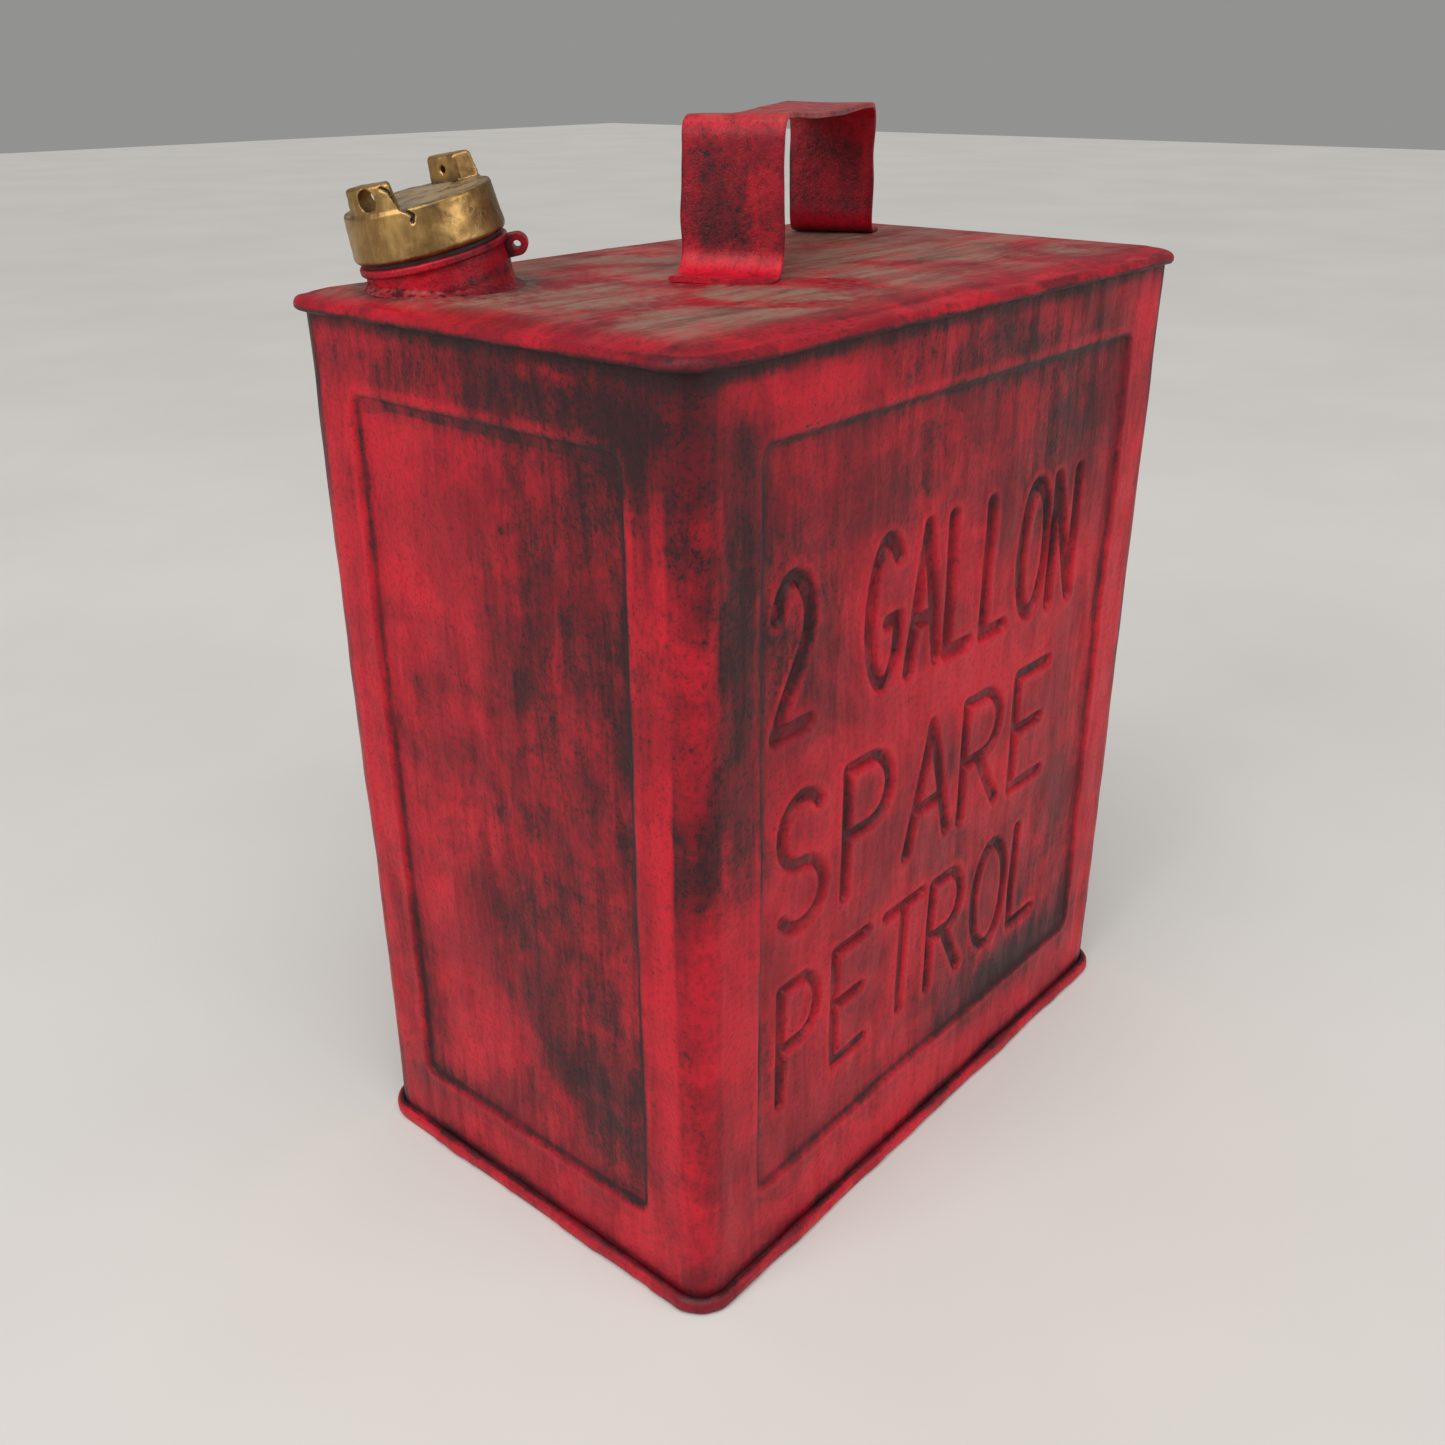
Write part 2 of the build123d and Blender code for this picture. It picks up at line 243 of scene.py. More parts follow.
@dataclass(frozen=True)
class PressedLine:
    """One line of pressed words on the wide face, in metres."""

    words: str
    left: float
    right: float
    foot: float
    height: float
    stroke: float
    slope: float = -0.025

    def segments(self) -> np.ndarray:
        """Rows of x0, z0, x1, z1, one for each straight bit of every stroke."""
        letters = plain_letters()
        pitch = (self.right - self.left) / len(self.words)
        rows = []
        for place, letter in enumerate(self.words):
            for stroke in letters.get(letter, []):
                path = [
                    (self.left + pitch * place + x * pitch * 1.22,
                     self.foot + y * self.height + self.slope * pitch * place)
                    for x, y in stroke
                ]
                rows += [(*a, *b) for a, b in zip(path, path[1:])]
        return np.array(rows)

    def groove(self, x: np.ndarray, z: np.ndarray) -> tuple[np.ndarray, np.ndarray]:
        """How deep the stroke is pressed at each place, and how far the sheet is raised beside it.

        Args:
            x: Positions along the face.
            z: Heights.

        Returns:
            0 on the flat to 1 on the groove's floor, and 0 away from the stroke to 1 on its rim.
        """
        nearest = np.full(x.shape, 1.0)
        for x0, z0, x1, z1 in self.segments():
            near = (np.abs(x - (x0 + x1) / 2) < abs(x1 - x0) / 2 + 3 * self.stroke)
            near &= np.abs(z - (z0 + z1) / 2) < abs(z1 - z0) / 2 + 3 * self.stroke
            if not near.any():
                continue
            dx, dz = x1 - x0, z1 - z0
            t = np.clip(((x[near] - x0) * dx + (z[near] - z0) * dz) / (dx * dx + dz * dz + 1e-12),
                        0, 1)
            gap = np.hypot(x[near] - x0 - t * dx, z[near] - z0 - t * dz)
            nearest[near] = np.minimum(nearest[near], gap)
        half = self.stroke / 2
        floor = 1.0 - ramp_up(nearest, half - 1.15 * MM, half + 0.45 * MM)
        return floor, np.exp(-((nearest - half - 1.7 * MM) / (1.1 * MM)) ** 2)


# ------------------------------------------------------------------ node graphs
class Graph:
    """Short way to add and join shader nodes in one tree."""

    def __init__(self, tree: bpy.types.NodeTree) -> None:
        """Work on this node tree."""
        self.tree = tree

    def add(self, kind: str, inputs: dict | None = None, **settings: object) -> bpy.types.Node:
        """Add a node.

        Args:
            kind: The node's class, without its ShaderNode prefix.
            inputs: Values, or sockets to link from, by input name or number.
            settings: Properties of the node.

        Returns:
            The new node.
        """
        node = self.tree.nodes.new(kind if kind.startswith("Node") else f"ShaderNode{kind}")
        for key, value in settings.items():
            setattr(node, key, value)
        for key, value in (inputs or {}).items():
            if isinstance(value, bpy.types.NodeSocket):
                self.tree.links.new(value, node.inputs[key])
            else:
                node.inputs[key].default_value = value
        return node

    def noise(self, vector: bpy.types.NodeSocket, scale: object, detail: float = 3.0,
              roughness: float = 0.55, distortion: float = 0.0) -> bpy.types.NodeSocket:
        """Noise value at a vector."""
        made = self.add("TexNoise", {"Vector": vector, "Scale": scale, "Detail": detail,
                                     "Roughness": roughness, "Distortion": distortion})
        return made.outputs["Fac"]

    def math(self, operation: str, a: object, b: object = 0.5,
             clamp: bool = False) -> bpy.types.NodeSocket:
        """Result of one sum."""
        return self.add("Math", {0: a, 1: b}, operation=operation, use_clamp=clamp).outputs[0]

    def remap(self, value: bpy.types.NodeSocket, low: float, high: float,
              to_low: float = 0.0, to_high: float = 1.0) -> bpy.types.NodeSocket:
        """Value moved from one range to another, smooth and clamped."""
        made = self.add("MapRange", {"Value": value, "From Min": low, "From Max": high,
                                     "To Min": to_low, "To Max": to_high},
                        interpolation_type="SMOOTHSTEP")
        return made.outputs["Result"]

    def mix(self, factor: object, a: object, b: object, blend: str = "MIX") -> bpy.types.NodeSocket:
        """Mix of two colours."""
        node = self.add("Mix", data_type="RGBA", blend_type=blend)
        colors = [s for s in node.inputs if s.type == "RGBA"]
        for socket, value in ((node.inputs[0], factor), (colors[0], a), (colors[1], b)):
            if isinstance(value, bpy.types.NodeSocket):
                self.tree.links.new(value, socket)
            else:
                socket.default_value = value
        return next(s for s in node.outputs if s.type == "RGBA")

    def attribute(self, name: str) -> bpy.types.NodeSocket:
        """One number per point that the piece carries."""
        return self.add("Attribute", attribute_name=name).outputs["Fac"]


def new_group(name: str, inputs: dict[str, str],
              outputs: dict[str, str]) -> tuple[bpy.types.NodeTree, Graph]:
    """An empty shader node group.

    Args:
        name: The group's name.
        inputs: Socket types by input name.
        outputs: Socket types by output name.

    Returns:
        The group's tree, and a graph to fill it with.
    """
    tree = bpy.data.node_groups.new(name, "ShaderNodeTree")
    for side, sockets in (("INPUT", inputs), ("OUTPUT", outputs)):
        for label, kind in sockets.items():
            tree.interface.new_socket(name=label, in_out=side, socket_type=f"NodeSocket{kind}")
    return tree, Graph(tree)


class Effects(Enum):
    """The surface effects that more than one finish uses."""

    STREAKS = "brush_streaks"
    WASH = "wash_and_painted_shade"
    SPECKLE = "dark_speckle"
    DUST = "dust_film"


def build_streaks() -> bpy.types.NodeTree:
    """Brush marks drawn out along Z: Across and Along are marks per metre."""
    tree, g = new_group(Effects.STREAKS.value,
                        {"Vector": "Vector", "Across": "Float", "Along": "Float"},
                        {"Value": "Float"})
    source = g.add("NodeGroupInput")
    stretch = g.add("CombineXYZ", {0: source.outputs["Across"], 1: source.outputs["Across"],
                                   2: source.outputs["Along"]})
    drawn = g.add("VectorMath", {0: source.outputs["Vector"], 1: stretch.outputs[0]},
                  operation="MULTIPLY")
    marks = g.noise(drawn.outputs[0], 1.0, 5.0, 0.68, 0.7)
    g.add("NodeGroupOutput", {"Value": marks})
    return tree


def build_wash() -> bpy.types.NodeTree:
    """Dark wash in cloudy patches, with painted shade added from the Hollow input, 0 clean to 1
    dark.
    """
    tree, g = new_group(Effects.WASH.value,
                        {"Vector": "Vector", "Scale": "Float", "Amount": "Float", "Hollow": "Float",
                         "Streak": "Float"}, {"Mask": "Float"})
    source = g.add("NodeGroupInput")
    clouds = g.noise(source.outputs["Vector"], source.outputs["Scale"], 7.0, 0.66, 0.5)
    mottle_scale = g.math("MULTIPLY", source.outputs["Scale"], 7.0)
    mottle = g.noise(source.outputs["Vector"], mottle_scale, 6.0, 0.72, 0.3)
    brushed = g.remap(source.outputs["Streak"], 0.32, 0.70, -0.07, 0.07)
    cloudy = g.math("ADD", clouds, g.math("MULTIPLY", g.math("SUBTRACT", mottle, 0.5), 0.75))
    cloudy = g.math("ADD", cloudy, brushed)
    level = g.math("MULTIPLY", source.outputs["Hollow"], 0.34)
    patches = g.remap(g.math("ADD", cloudy, level), 0.46, 0.92)
    total = g.math("MULTIPLY", patches, source.outputs["Amount"], clamp=True)
    g.add("NodeGroupOutput", {"Mask": total})
    return tree


def build_speckle() -> bpy.types.NodeTree:
    """Small dark flecks in loose drifts, 0 clean to 1 dark."""
    tree, g = new_group(Effects.SPECKLE.value,
                        {"Vector": "Vector", "Scale": "Float", "Amount": "Float"},
                        {"Mask": "Float"})
    source = g.add("NodeGroupInput")
    flecks = g.noise(source.outputs["Vector"], source.outputs["Scale"], 2.0, 0.7)
    flecks = g.remap(flecks, 0.60, 0.70)
    drift_scale = g.math("MULTIPLY", source.outputs["Scale"], 0.035)
    drifts = g.remap(g.noise(source.outputs["Vector"], drift_scale, 3.0), 0.42, 0.66)
    mask = g.math("MULTIPLY", g.math("MULTIPLY", flecks, drifts), source.outputs["Amount"],
                  clamp=True)
    g.add("NodeGroupOutput", {"Mask": mask})
    return tree


def build_dust() -> bpy.types.NodeTree:
    """Dust that has settled in swirls, 0 clean to 1 covered."""
    tree, g = new_group(Effects.DUST.value,
                        {"Vector": "Vector", "Scale": "Float", "Amount": "Float",
                         "Settle": "Float"},
                        {"Mask": "Float"})
    source = g.add("NodeGroupInput")
    swirls = g.noise(source.outputs["Vector"], source.outputs["Scale"], 7.0, 0.6, 1.6)
    fine_scale = g.math("MULTIPLY", source.outputs["Scale"], 22.0)
    fine = g.noise(source.outputs["Vector"], fine_scale, 2.0, 0.6)
    film = g.math("ADD", g.remap(swirls, 0.30, 0.56), g.remap(fine, 0.35, 0.75, -0.22, 0.18),
                  clamp=True)
    film = g.math("MULTIPLY", g.math("MULTIPLY", film, source.outputs["Amount"]),
                  source.outputs["Settle"],
                  clamp=True)
    g.add("NodeGroupOutput", {"Mask": film})
    return tree


def place_effect(g: Graph, effect: Effects, **inputs: object) -> bpy.types.NodeSocket:
    """Place a shared effect in a material and return its one output.

    Args:
        g: The material's graph.
        effect: Which effect.
        inputs: Its values or links by input name.

    Returns:
        The effect's output socket.
    """
    builders = {Effects.STREAKS: build_streaks, Effects.WASH: build_wash,
                Effects.SPECKLE: build_speckle, Effects.DUST: build_dust}
    tree = bpy.data.node_groups.get(effect.value) or builders[effect]()
    return g.add("Group", inputs, node_tree=tree).outputs[0]


def start_material(name: str) -> tuple[bpy.types.Material, Graph, bpy.types.Node,
                                       bpy.types.NodeSocket]:
    """A new node material, its graph, its shader and the object coordinates."""
    material = bpy.data.materials.new(name)
    material.use_nodes = True
    g = Graph(material.node_tree)
    shader = next(n for n in material.node_tree.nodes if n.type == "BSDF_PRINCIPLED")
    place = g.add("TexCoord").outputs["Object"]
    return material, g, shader, place


Color = tuple[float, float, float, float]


@dataclass(frozen=True)
class RedPaint:
    """Hand-rubbed red paint with a dark wash and painted shade in its hollows, painted highlight on
    edges and bends, and dust where it settles.
    """

    name: str
    bright: Color = (0.50, 0.006, 0.020, 1.0)
    middle: Color = (0.17, 0.003, 0.010, 1.0)
    dark_wash_and_shade: Color = (0.022, 0.006, 0.008, 1.0)
    dust: Color = (0.235, 0.160, 0.115, 1.0)
    cloud_scale: float = 13.0
    wash_and_shade_amount: float = 0.92
    streak_across: float = 170.0
    streak_along: float = 24.0
    speckle_amount: float = 0.85
    dust_amount: float = 0.0
    dust_scale: float = 11.0
    roughness: float = 0.40
    bump: float = 0.4
    brush_turn: tuple[float, float, float] = (0.0, 0.0, 0.0)

    def build(self) -> bpy.types.Material:
        """Make the material."""
        material, g, shader, place = start_material(self.name)
        turned = g.add("Mapping", {"Vector": place, "Rotation": self.brush_turn}).outputs[0]
        streak = place_effect(g, Effects.STREAKS, Vector=turned, Across=self.streak_across,
                              Along=self.streak_along)
        # Points are set darker as painted shade in hollows and under parts, and lighter as painted
        # highlight and wear on edges and bends.
        wear_and_highlight_mask = g.attribute("wear_and_highlight")
        stain_and_shade = g.math("SUBTRACT", g.attribute("hollow"), g.math("MULTIPLY", wear_and_highlight_mask, 0.8))
        dark_wash_and_shade = place_effect(g, Effects.WASH, Vector=place, Scale=self.cloud_scale,
                            Amount=self.wash_and_shade_amount,
                            Hollow=stain_and_shade, Streak=streak)
        speckle = place_effect(g, Effects.SPECKLE, Vector=place, Scale=650.0,
                               Amount=self.speckle_amount)
        shade = g.remap(g.noise(place, 30.0, 6.0, 0.68, 0.4), 0.33, 0.62)
        shade = g.math("ADD", g.math("MULTIPLY", shade, 0.75),
                       g.remap(streak, 0.35, 0.70, 0.0, 0.22))
        shade = g.math("ADD", shade, g.math("MULTIPLY", stain_and_shade, 0.7), clamp=True)
        red = g.mix(shade, self.bright, self.middle)
        pits = g.remap(g.noise(place, 620.0, 4.0, 0.75), 0.49, 0.64, 0.0, 0.42)
        dark = g.math("MAXIMUM", g.math("ADD", dark_wash_and_shade, pits, clamp=True), speckle)
        # The dark colour stands for the wash and for painted shade alike.
        color = g.mix(dark, red, self.dark_wash_and_shade)
        rough = g.remap(streak, 0.3, 0.7, self.roughness - 0.07, self.roughness + 0.13)
        if self.dust_amount:
            film = place_effect(g, Effects.DUST, Vector=turned, Scale=self.dust_scale,
                                Amount=self.dust_amount,
                                Settle=g.attribute("settled"))
            film = g.math("MULTIPLY", film, g.remap(streak, 0.36, 0.62, 1.0, 0.45), clamp=True)
            color = g.mix(film, color, self.dust)
            rough = g.math("ADD", rough, g.math("MULTIPLY", film, 0.3), clamp=True)
        g.tree.links.new(color, shader.inputs["Base Color"])
        g.tree.links.new(rough, shader.inputs["Roughness"])
        grain = g.noise(place, 620.0, 4.0, 0.75)
        height = g.math("SUBTRACT", g.math("MULTIPLY", streak, 0.5), g.math("MULTIPLY", grain, 0.9))
        bump = g.add("Bump", {"Height": height, "Distance": 0.0006, "Strength": self.bump})
        g.tree.links.new(bump.outputs[0], shader.inputs["Normal"])
        shader.inputs["Specular IOR Level"].default_value = 0.24
        return material


@dataclass(frozen=True)
class AgedBrass:
    """Dull cast brass, browned and spotted, with painted shade in its hollows, dusty on its flat
    top.
    """

    name: str = "aged_brass"
    clean: Color = (0.47, 0.29, 0.105, 1.0)
    brown: Color = (0.19, 0.105, 0.040, 1.0)
    spot_and_shade: Color = (0.05, 0.038, 0.028, 1.0)
    dust: Color = (0.30, 0.23, 0.15, 1.0)

    def build(self) -> bpy.types.Material:
        """Make the material."""
        material, g, shader, place = start_material(self.name)
        runs = place_effect(g, Effects.STREAKS, Vector=place, Across=260.0, Along=45.0)
        tarnish = g.math("ADD", g.noise(place, 85.0, 6.0, 0.62, 0.5), g.math("MULTIPLY", runs, 0.5))
        tarnish = g.remap(tarnish, 0.58, 0.88)
        color = g.mix(g.math("MULTIPLY", tarnish, 0.75), self.clean, self.brown)
        spots = place_effect(g, Effects.SPECKLE, Vector=place, Scale=420.0, Amount=0.8)
        color = g.mix(spots, color, self.spot_and_shade)
        # Painted shade from the points' hollow value, in the dark spot colour.
        hollow = g.attribute("hollow")
        color = g.mix(g.math("MULTIPLY", hollow, 0.8), color, self.spot_and_shade)
        film = place_effect(g, Effects.DUST, Vector=place, Scale=60.0, Amount=0.85,
                            Settle=g.attribute("settled"))
        color = g.mix(film, color, self.dust)
        metal = g.math("SUBTRACT", 1.0, g.math("MULTIPLY", film, 0.85), clamp=True)
        metal = g.math("SUBTRACT", metal, g.math("MULTIPLY", spots, 0.4), clamp=True)
        rough = g.remap(g.noise(place, 240.0, 4.0, 0.6), 0.3, 0.7, 0.30, 0.46)
        rough = g.math("ADD", rough, g.math("MULTIPLY", film, 0.3), clamp=True)
        g.tree.links.new(color, shader.inputs["Base Color"])
        g.tree.links.new(metal, shader.inputs["Metallic"])
        g.tree.links.new(rough, shader.inputs["Roughness"])
        height = g.math("ADD", g.noise(place, 600.0, 4.0, 0.6), g.math("MULTIPLY", spots, -0.8))
        bump = g.add("Bump", {"Height": height, "Distance": 0.00025, "Strength": 0.35})
        g.tree.links.new(bump.outputs[0], shader.inputs["Normal"])
        return material


@dataclass(frozen=True)
class BlackRubber:
    """Perished black rubber of the cap's washer."""

    name: str = "washer_rubber"

    def build(self) -> bpy.types.Material:
        """Make the material."""
        material, g, shader, place = start_material(self.name)
        bloom = g.remap(g.noise(place, 220.0, 4.0, 0.6), 0.4, 0.7)
        color = g.mix(bloom, (0.012, 0.011, 0.010, 1.0), (0.05, 0.045, 0.04, 1.0))
        g.tree.links.new(color, shader.inputs["Base Color"])
        g.tree.links.new(g.remap(bloom, 0.0, 1.0, 0.6, 0.85), shader.inputs["Roughness"])
        bump = g.add("Bump",
                     {"Height": g.noise(place, 900.0, 3.0), "Distance": 0.0002, "Strength": 0.4})
        g.tree.links.new(bump.outputs[0], shader.inputs["Normal"])
        return material


def dress(piece: bpy.types.Object, material: bpy.types.Material) -> None:
    """Give the whole piece one material."""
    piece.data.materials.clear()
    piece.data.materials.append(material)


def dress_node(piece: bpy.types.Object, material: bpy.types.Material) -> None:
    """Put a material in every slot of a frame node that stays in view."""
    if not piece.material_slots:
        piece.data.materials.append(material)
    for slot in piece.material_slots:
        slot.material = material


# ------------------------------------------------------------------ body
class Side(Enum):
    """The four walls of the can, and the round corners between them."""

    FRONT = 0
    REAR = 1
    LEFT = 2
    RIGHT = 3
    CORNER = 4


@dataclass
class Outline:
    """Rounded-rectangle plan of the can, in metres."""

    half_width: float
    half_depth: float
    corner: float

    def ring(self, inset: float, straight_steps: tuple[int, int], corner_steps: int) -> np.ndarray:
        """Points round the plan, moved in by inset, counter-clockwise from the rear right corner.

        Args:
            inset: How far inside the walls; negative is outside.
            straight_steps: Steps along the wide and the narrow sides.
            corner_steps: Steps round each corner.

        Returns:
            Rows of x, y; the last point isn't repeated.
        """
        radius = max(self.corner - inset, 0.4 * MM)
        cx, cy = self.half_width - inset - radius, self.half_depth - inset - radius
        rows = []
        corners = ((cx, cy, 0.0), (-cx, cy, 90.0), (-cx, -cy, 180.0), (cx, -cy, 270.0))
        for index, (x, y, start) in enumerate(corners):
            for step in range(corner_steps):
                turn = math.radians(start + 90.0 * step / corner_steps)
                rows.append((x + radius * math.cos(turn), y + radius * math.sin(turn)))
            turn = math.radians(start + 90.0)
            leave = (x + radius * math.cos(turn), y + radius * math.sin(turn))
            nx, ny, _ = corners[(index + 1) % 4]
            arrive = (nx + radius * math.cos(turn), ny + radius * math.sin(turn))
            count = straight_steps[index % 2]
            for step in range(count):
                t = step / count
                rows.append((leave[0] + (arrive[0] - leave[0]) * t,
                             leave[1] + (arrive[1] - leave[1]) * t))
        return np.array(rows)


def stack_rings(rings: list[np.ndarray], closed: bool = False) -> tuple[np.ndarray, list]:
    """Join rings of equal length into a strip of faces.

    Args:
        rings: Arrays of x, y, z rows, in order from one side of the sheet to the other.
        closed: True where the last ring joins the first again.

    Returns:
        All points and the quads between neighbouring rings.
    """
    count = len(rings[0])
    faces = []
    for level in range(len(rings) - 1):
        a, b = level * count, (level + 1) * count
        faces += [(a + i, a + (i + 1) % count, b + (i + 1) % count, b + i) for i in range(count)]
    if closed:
        last = (len(rings) - 1) * count
        faces += [(last + i, last + (i + 1) % count, (i + 1) % count, i) for i in range(count)]
    return np.vstack(rings), faces


def close_slit(first: int, straight_steps: tuple[int, int], corner_steps: int, flip: bool) -> list:
    """Faces that close the innermost ring, front side to rear side.

    Args:
        first: Index of the ring's first point.
        straight_steps: Steps along the wide and the narrow sides.
        corner_steps: Steps round each corner.
        flip: Turn the faces over.

    Returns:
        Quads across the slit and one face at each end.
    """
    wide, narrow = straight_steps
    count = 2 * (wide + narrow) + 4 * corner_steps
    rear_start = corner_steps
    front_start = rear_start + wide + corner_steps + narrow + corner_steps
    faces = []
    for i in range(wide):
        a, b = rear_start + i, rear_start + i + 1
        c, d = front_start + wide - i - 1, front_start + wide - i
        faces.append((a, b, c, d))
    left = list(range(rear_start + wide, front_start + 1))
    right = list(range(front_start + wide, count)) + list(range(0, rear_start + 1))
    faces += [tuple(left), tuple(right)]
    if flip:
        faces = [tuple(reversed(f)) for f in faces]
    return [tuple(first + i % count for i in f) for f in faces]


@dataclass(frozen=True)
class Patch:
    """A soft dark cloud on one wall, or a lighter one where its amount is below zero."""

    side: Side
    along: float
    height: float
    wide: float
    tall: float
    amount: float


def wall_patches() -> tuple[Patch, ...]:
    """Where the walls were worn lighter and where the wash was left darker, in millimetres; the
    dark bands just under the top are partly painted shade, and the narrow light strips beside the
    corners are partly painted highlight.
    """
    left, front, rear, right = Side.LEFT, Side.FRONT, Side.REAR, Side.RIGHT
    return (
        Patch(left, 0, 268, 90, 9, 0.55), Patch(left, 62, 262, 22, 22, 0.75),
        Patch(left, -68, 150, 9, 130, -0.8), Patch(left, -28, 215, 22, 30, -0.55),
        Patch(left, 28, 190, 26, 42, 0.45), Patch(left, 20, 100, 30, 60, 0.35),
        Patch(left, 40, 50, 22, 24, 0.75), Patch(left, 64, 135, 8, 70, -1.2),
        Patch(left, -30, 90, 16, 50, -0.35), Patch(left, 20, 16, 70, 7, -0.5),
        Patch(left, -10, 150, 60, 90, 0.12),
        Patch(front, -104, 235, 10, 45, 0.85), Patch(front, -103, 150, 9, 22, 0.7),
        Patch(front, -104, 90, 9, 45, -0.5), Patch(front, -75, 271, 34, 6, -0.9),
        Patch(front, 5, 268, 50, 9, 0.45), Patch(front, 62, 236, 34, 26, 0.7),
        Patch(front, -78, 205, 18, 34, 0.5), Patch(front, -20, 240, 34, 13, 0.35),
        Patch(front, -20, 166, 44, 12, -0.6), Patch(front, 60, 165, 32, 22, -0.35),
        Patch(front, -70, 110, 24, 34, -0.35), Patch(front, 20, 106, 44, 14, 0.3),
        Patch(front, -50, 50, 34, 18, -0.3), Patch(front, 55, 38, 46, 10, 0.8),
        Patch(front, 82, 100, 12, 40, 0.45), Patch(front, 104, 150, 7, 120, -1.0),
        Patch(front, 0, 17, 100, 8, -0.8), Patch(front, -98, 20, 18, 12, 0.5),
        Patch(rear, -40, 205, 44, 38, 0.5), Patch(rear, 50, 95, 46, 44, 0.5),
        Patch(rear, 30, 190, 40, 30, -0.5), Patch(rear, -50, 90, 36, 50, -0.4),
        Patch(rear, 0, 17, 100, 8, -0.6), Patch(rear, 104, 150, 8, 100, -0.6),
        Patch(right, 0, 200, 30, 40, 0.45), Patch(right, -20, 90, 30, 40, -0.4),
        Patch(right, 30, 60, 24, 30, 0.6), Patch(right, -62, 140, 9, 90, -0.7),
    )


@dataclass
class PressedWalls:
    """The two L-shaped wall sheets with their pressed panels and words."""

    outline: Outline
    foot: float
    head: float
    sheet: float = 1.0 * MM
    panel_depth: float = 1.6 * MM
    panel_bevel: float = 2.3 * MM
    panel_corner: float = 5.0 * MM
    panel_margins: dict[Side, float] = field(default_factory=lambda: {
        Side.FRONT: 24.6 * MM, Side.REAR: 24.6 * MM, Side.LEFT: 21.5 * MM, Side.RIGHT: 21.5 * MM})
    wide_panel: tuple[float, float] = (30.4 * MM, 261.4 * MM)
    narrow_panel: tuple[float, float] = (27.3 * MM, 260.4 * MM)
    seam: float = 15.0 * MM
    lap: float = 5.0 * MM
    word_depth: float = 1.6 * MM
    rim_height: float = 0.22 * MM
    inner_stride: int = 8
    corner_steps: int = 10
    front_steps: tuple[float, float] = (2.2 * MM, 0.8 * MM)
    rear_steps: tuple[float, float] = (2.6 * MM, 0.9 * MM)
    height_steps: tuple[float, float] = (2.5 * MM, 0.8 * MM)
    word_step: float = 0.78 * MM
    words: tuple[PressedLine, ...] = (
        PressedLine("2 GALLON", -88 * MM, 78 * MM, 181 * MM, 43 * MM, 4.6 * MM),
        PressedLine("SPARE", -86 * MM, 74 * MM, 117 * MM, 42 * MM, 3.9 * MM),
        PressedLine("PETROL", -84 * MM, 78 * MM, 57 * MM, 41 * MM, 3.7 * MM),
    )

    def column_run(self, start: tuple, stop: tuple, side: Side, coarse: float,
                   bands: list) -> list[tuple]:
        """Columns along one straight wall: x, y, outward x and y, side, place along the face."""
        length = math.hypot(stop[0] - start[0], stop[1] - start[1])
        dx, dy = (stop[0] - start[0]) / length, (stop[1] - start[1]) / length
        origin = start[0] * dx + start[1] * dy
        marks = stations(0.0, length, coarse, [(a - origin, b - origin, s) for a, b, s in bands])
        return [(start[0] + dx * m, start[1] + dy * m, dy, -dx, side, m + origin) for m in marks]

    def corner_run(self, center: tuple, start: float) -> list[tuple]:
        """Columns round one corner, turning counter-clockwise from start degrees."""
        rows = []
        for step in range(1, self.corner_steps):
            turn = math.radians(start + 90.0 / self.corner_steps * step)
            nx, ny = math.cos(turn), math.sin(turn)
            rows.append((center[0] + nx * self.outline.corner, center[1] + ny * self.outline.corner,
                         nx, ny, Side.CORNER, 0.0))
        return rows

    def front_columns(self) -> list[tuple]:
        """Columns of the front sheet, from the rear left seam round to the right seam."""
        o = self.outline
        cx, cy = o.half_width - o.corner, o.half_depth - o.corner
        coarse, fine = self.front_steps
        wide = o.half_width - self.panel_margins[Side.FRONT]
        narrow = o.half_depth - self.panel_margins[Side.LEFT]
        words = (-92 * MM, 82 * MM, self.word_step)
        columns = self.column_run((-o.half_width + self.seam, o.half_depth), (-cx, o.half_depth),
                                  Side.REAR, coarse, [])
        columns += self.corner_run((-cx, cy), 90.0)
        columns += self.column_run((-o.half_width, cy), (-o.half_width, -cy), Side.LEFT, coarse,
                                   fine_edges(narrow, fine))
        columns += self.corner_run((-cx, -cy), 180.0)
        columns += self.column_run((-cx, -o.half_depth), (cx, -o.half_depth), Side.FRONT, coarse,
                                   [*fine_edges(wide, fine), words])
        columns += self.corner_run((cx, -cy), 270.0)
        columns += self.column_run((o.half_width, -cy), (o.half_width, -o.half_depth + self.seam),
                                   Side.RIGHT, coarse, [])
        return columns

    def rear_columns(self) -> list[tuple]:
        """Columns of the rear sheet, from under the right seam round to under the left one."""
        o = self.outline
        cx, cy = o.half_width - o.corner, o.half_depth - o.corner
        coarse, fine = self.rear_steps
        wide = o.half_width - self.panel_margins[Side.REAR]
        narrow = o.half_depth - self.panel_margins[Side.RIGHT]
        reach = self.seam - self.lap
        columns = self.column_run((o.half_width, -o.half_depth + reach), (o.half_width, cy),
                                  Side.RIGHT, coarse,
                                  [*fine_edges(narrow, fine),
                                   (-o.half_depth + reach, -o.half_depth + reach + 9 * MM, fine)])
        columns += self.corner_run((cx, cy), 0.0)
        columns += self.column_run((cx, o.half_depth), (-o.half_width + reach, o.half_depth),
                                   Side.REAR, coarse,
                                   [*fine_edges(wide, fine),
                                    (o.half_width - reach - 9 * MM, o.half_width - reach, fine)])
        return columns

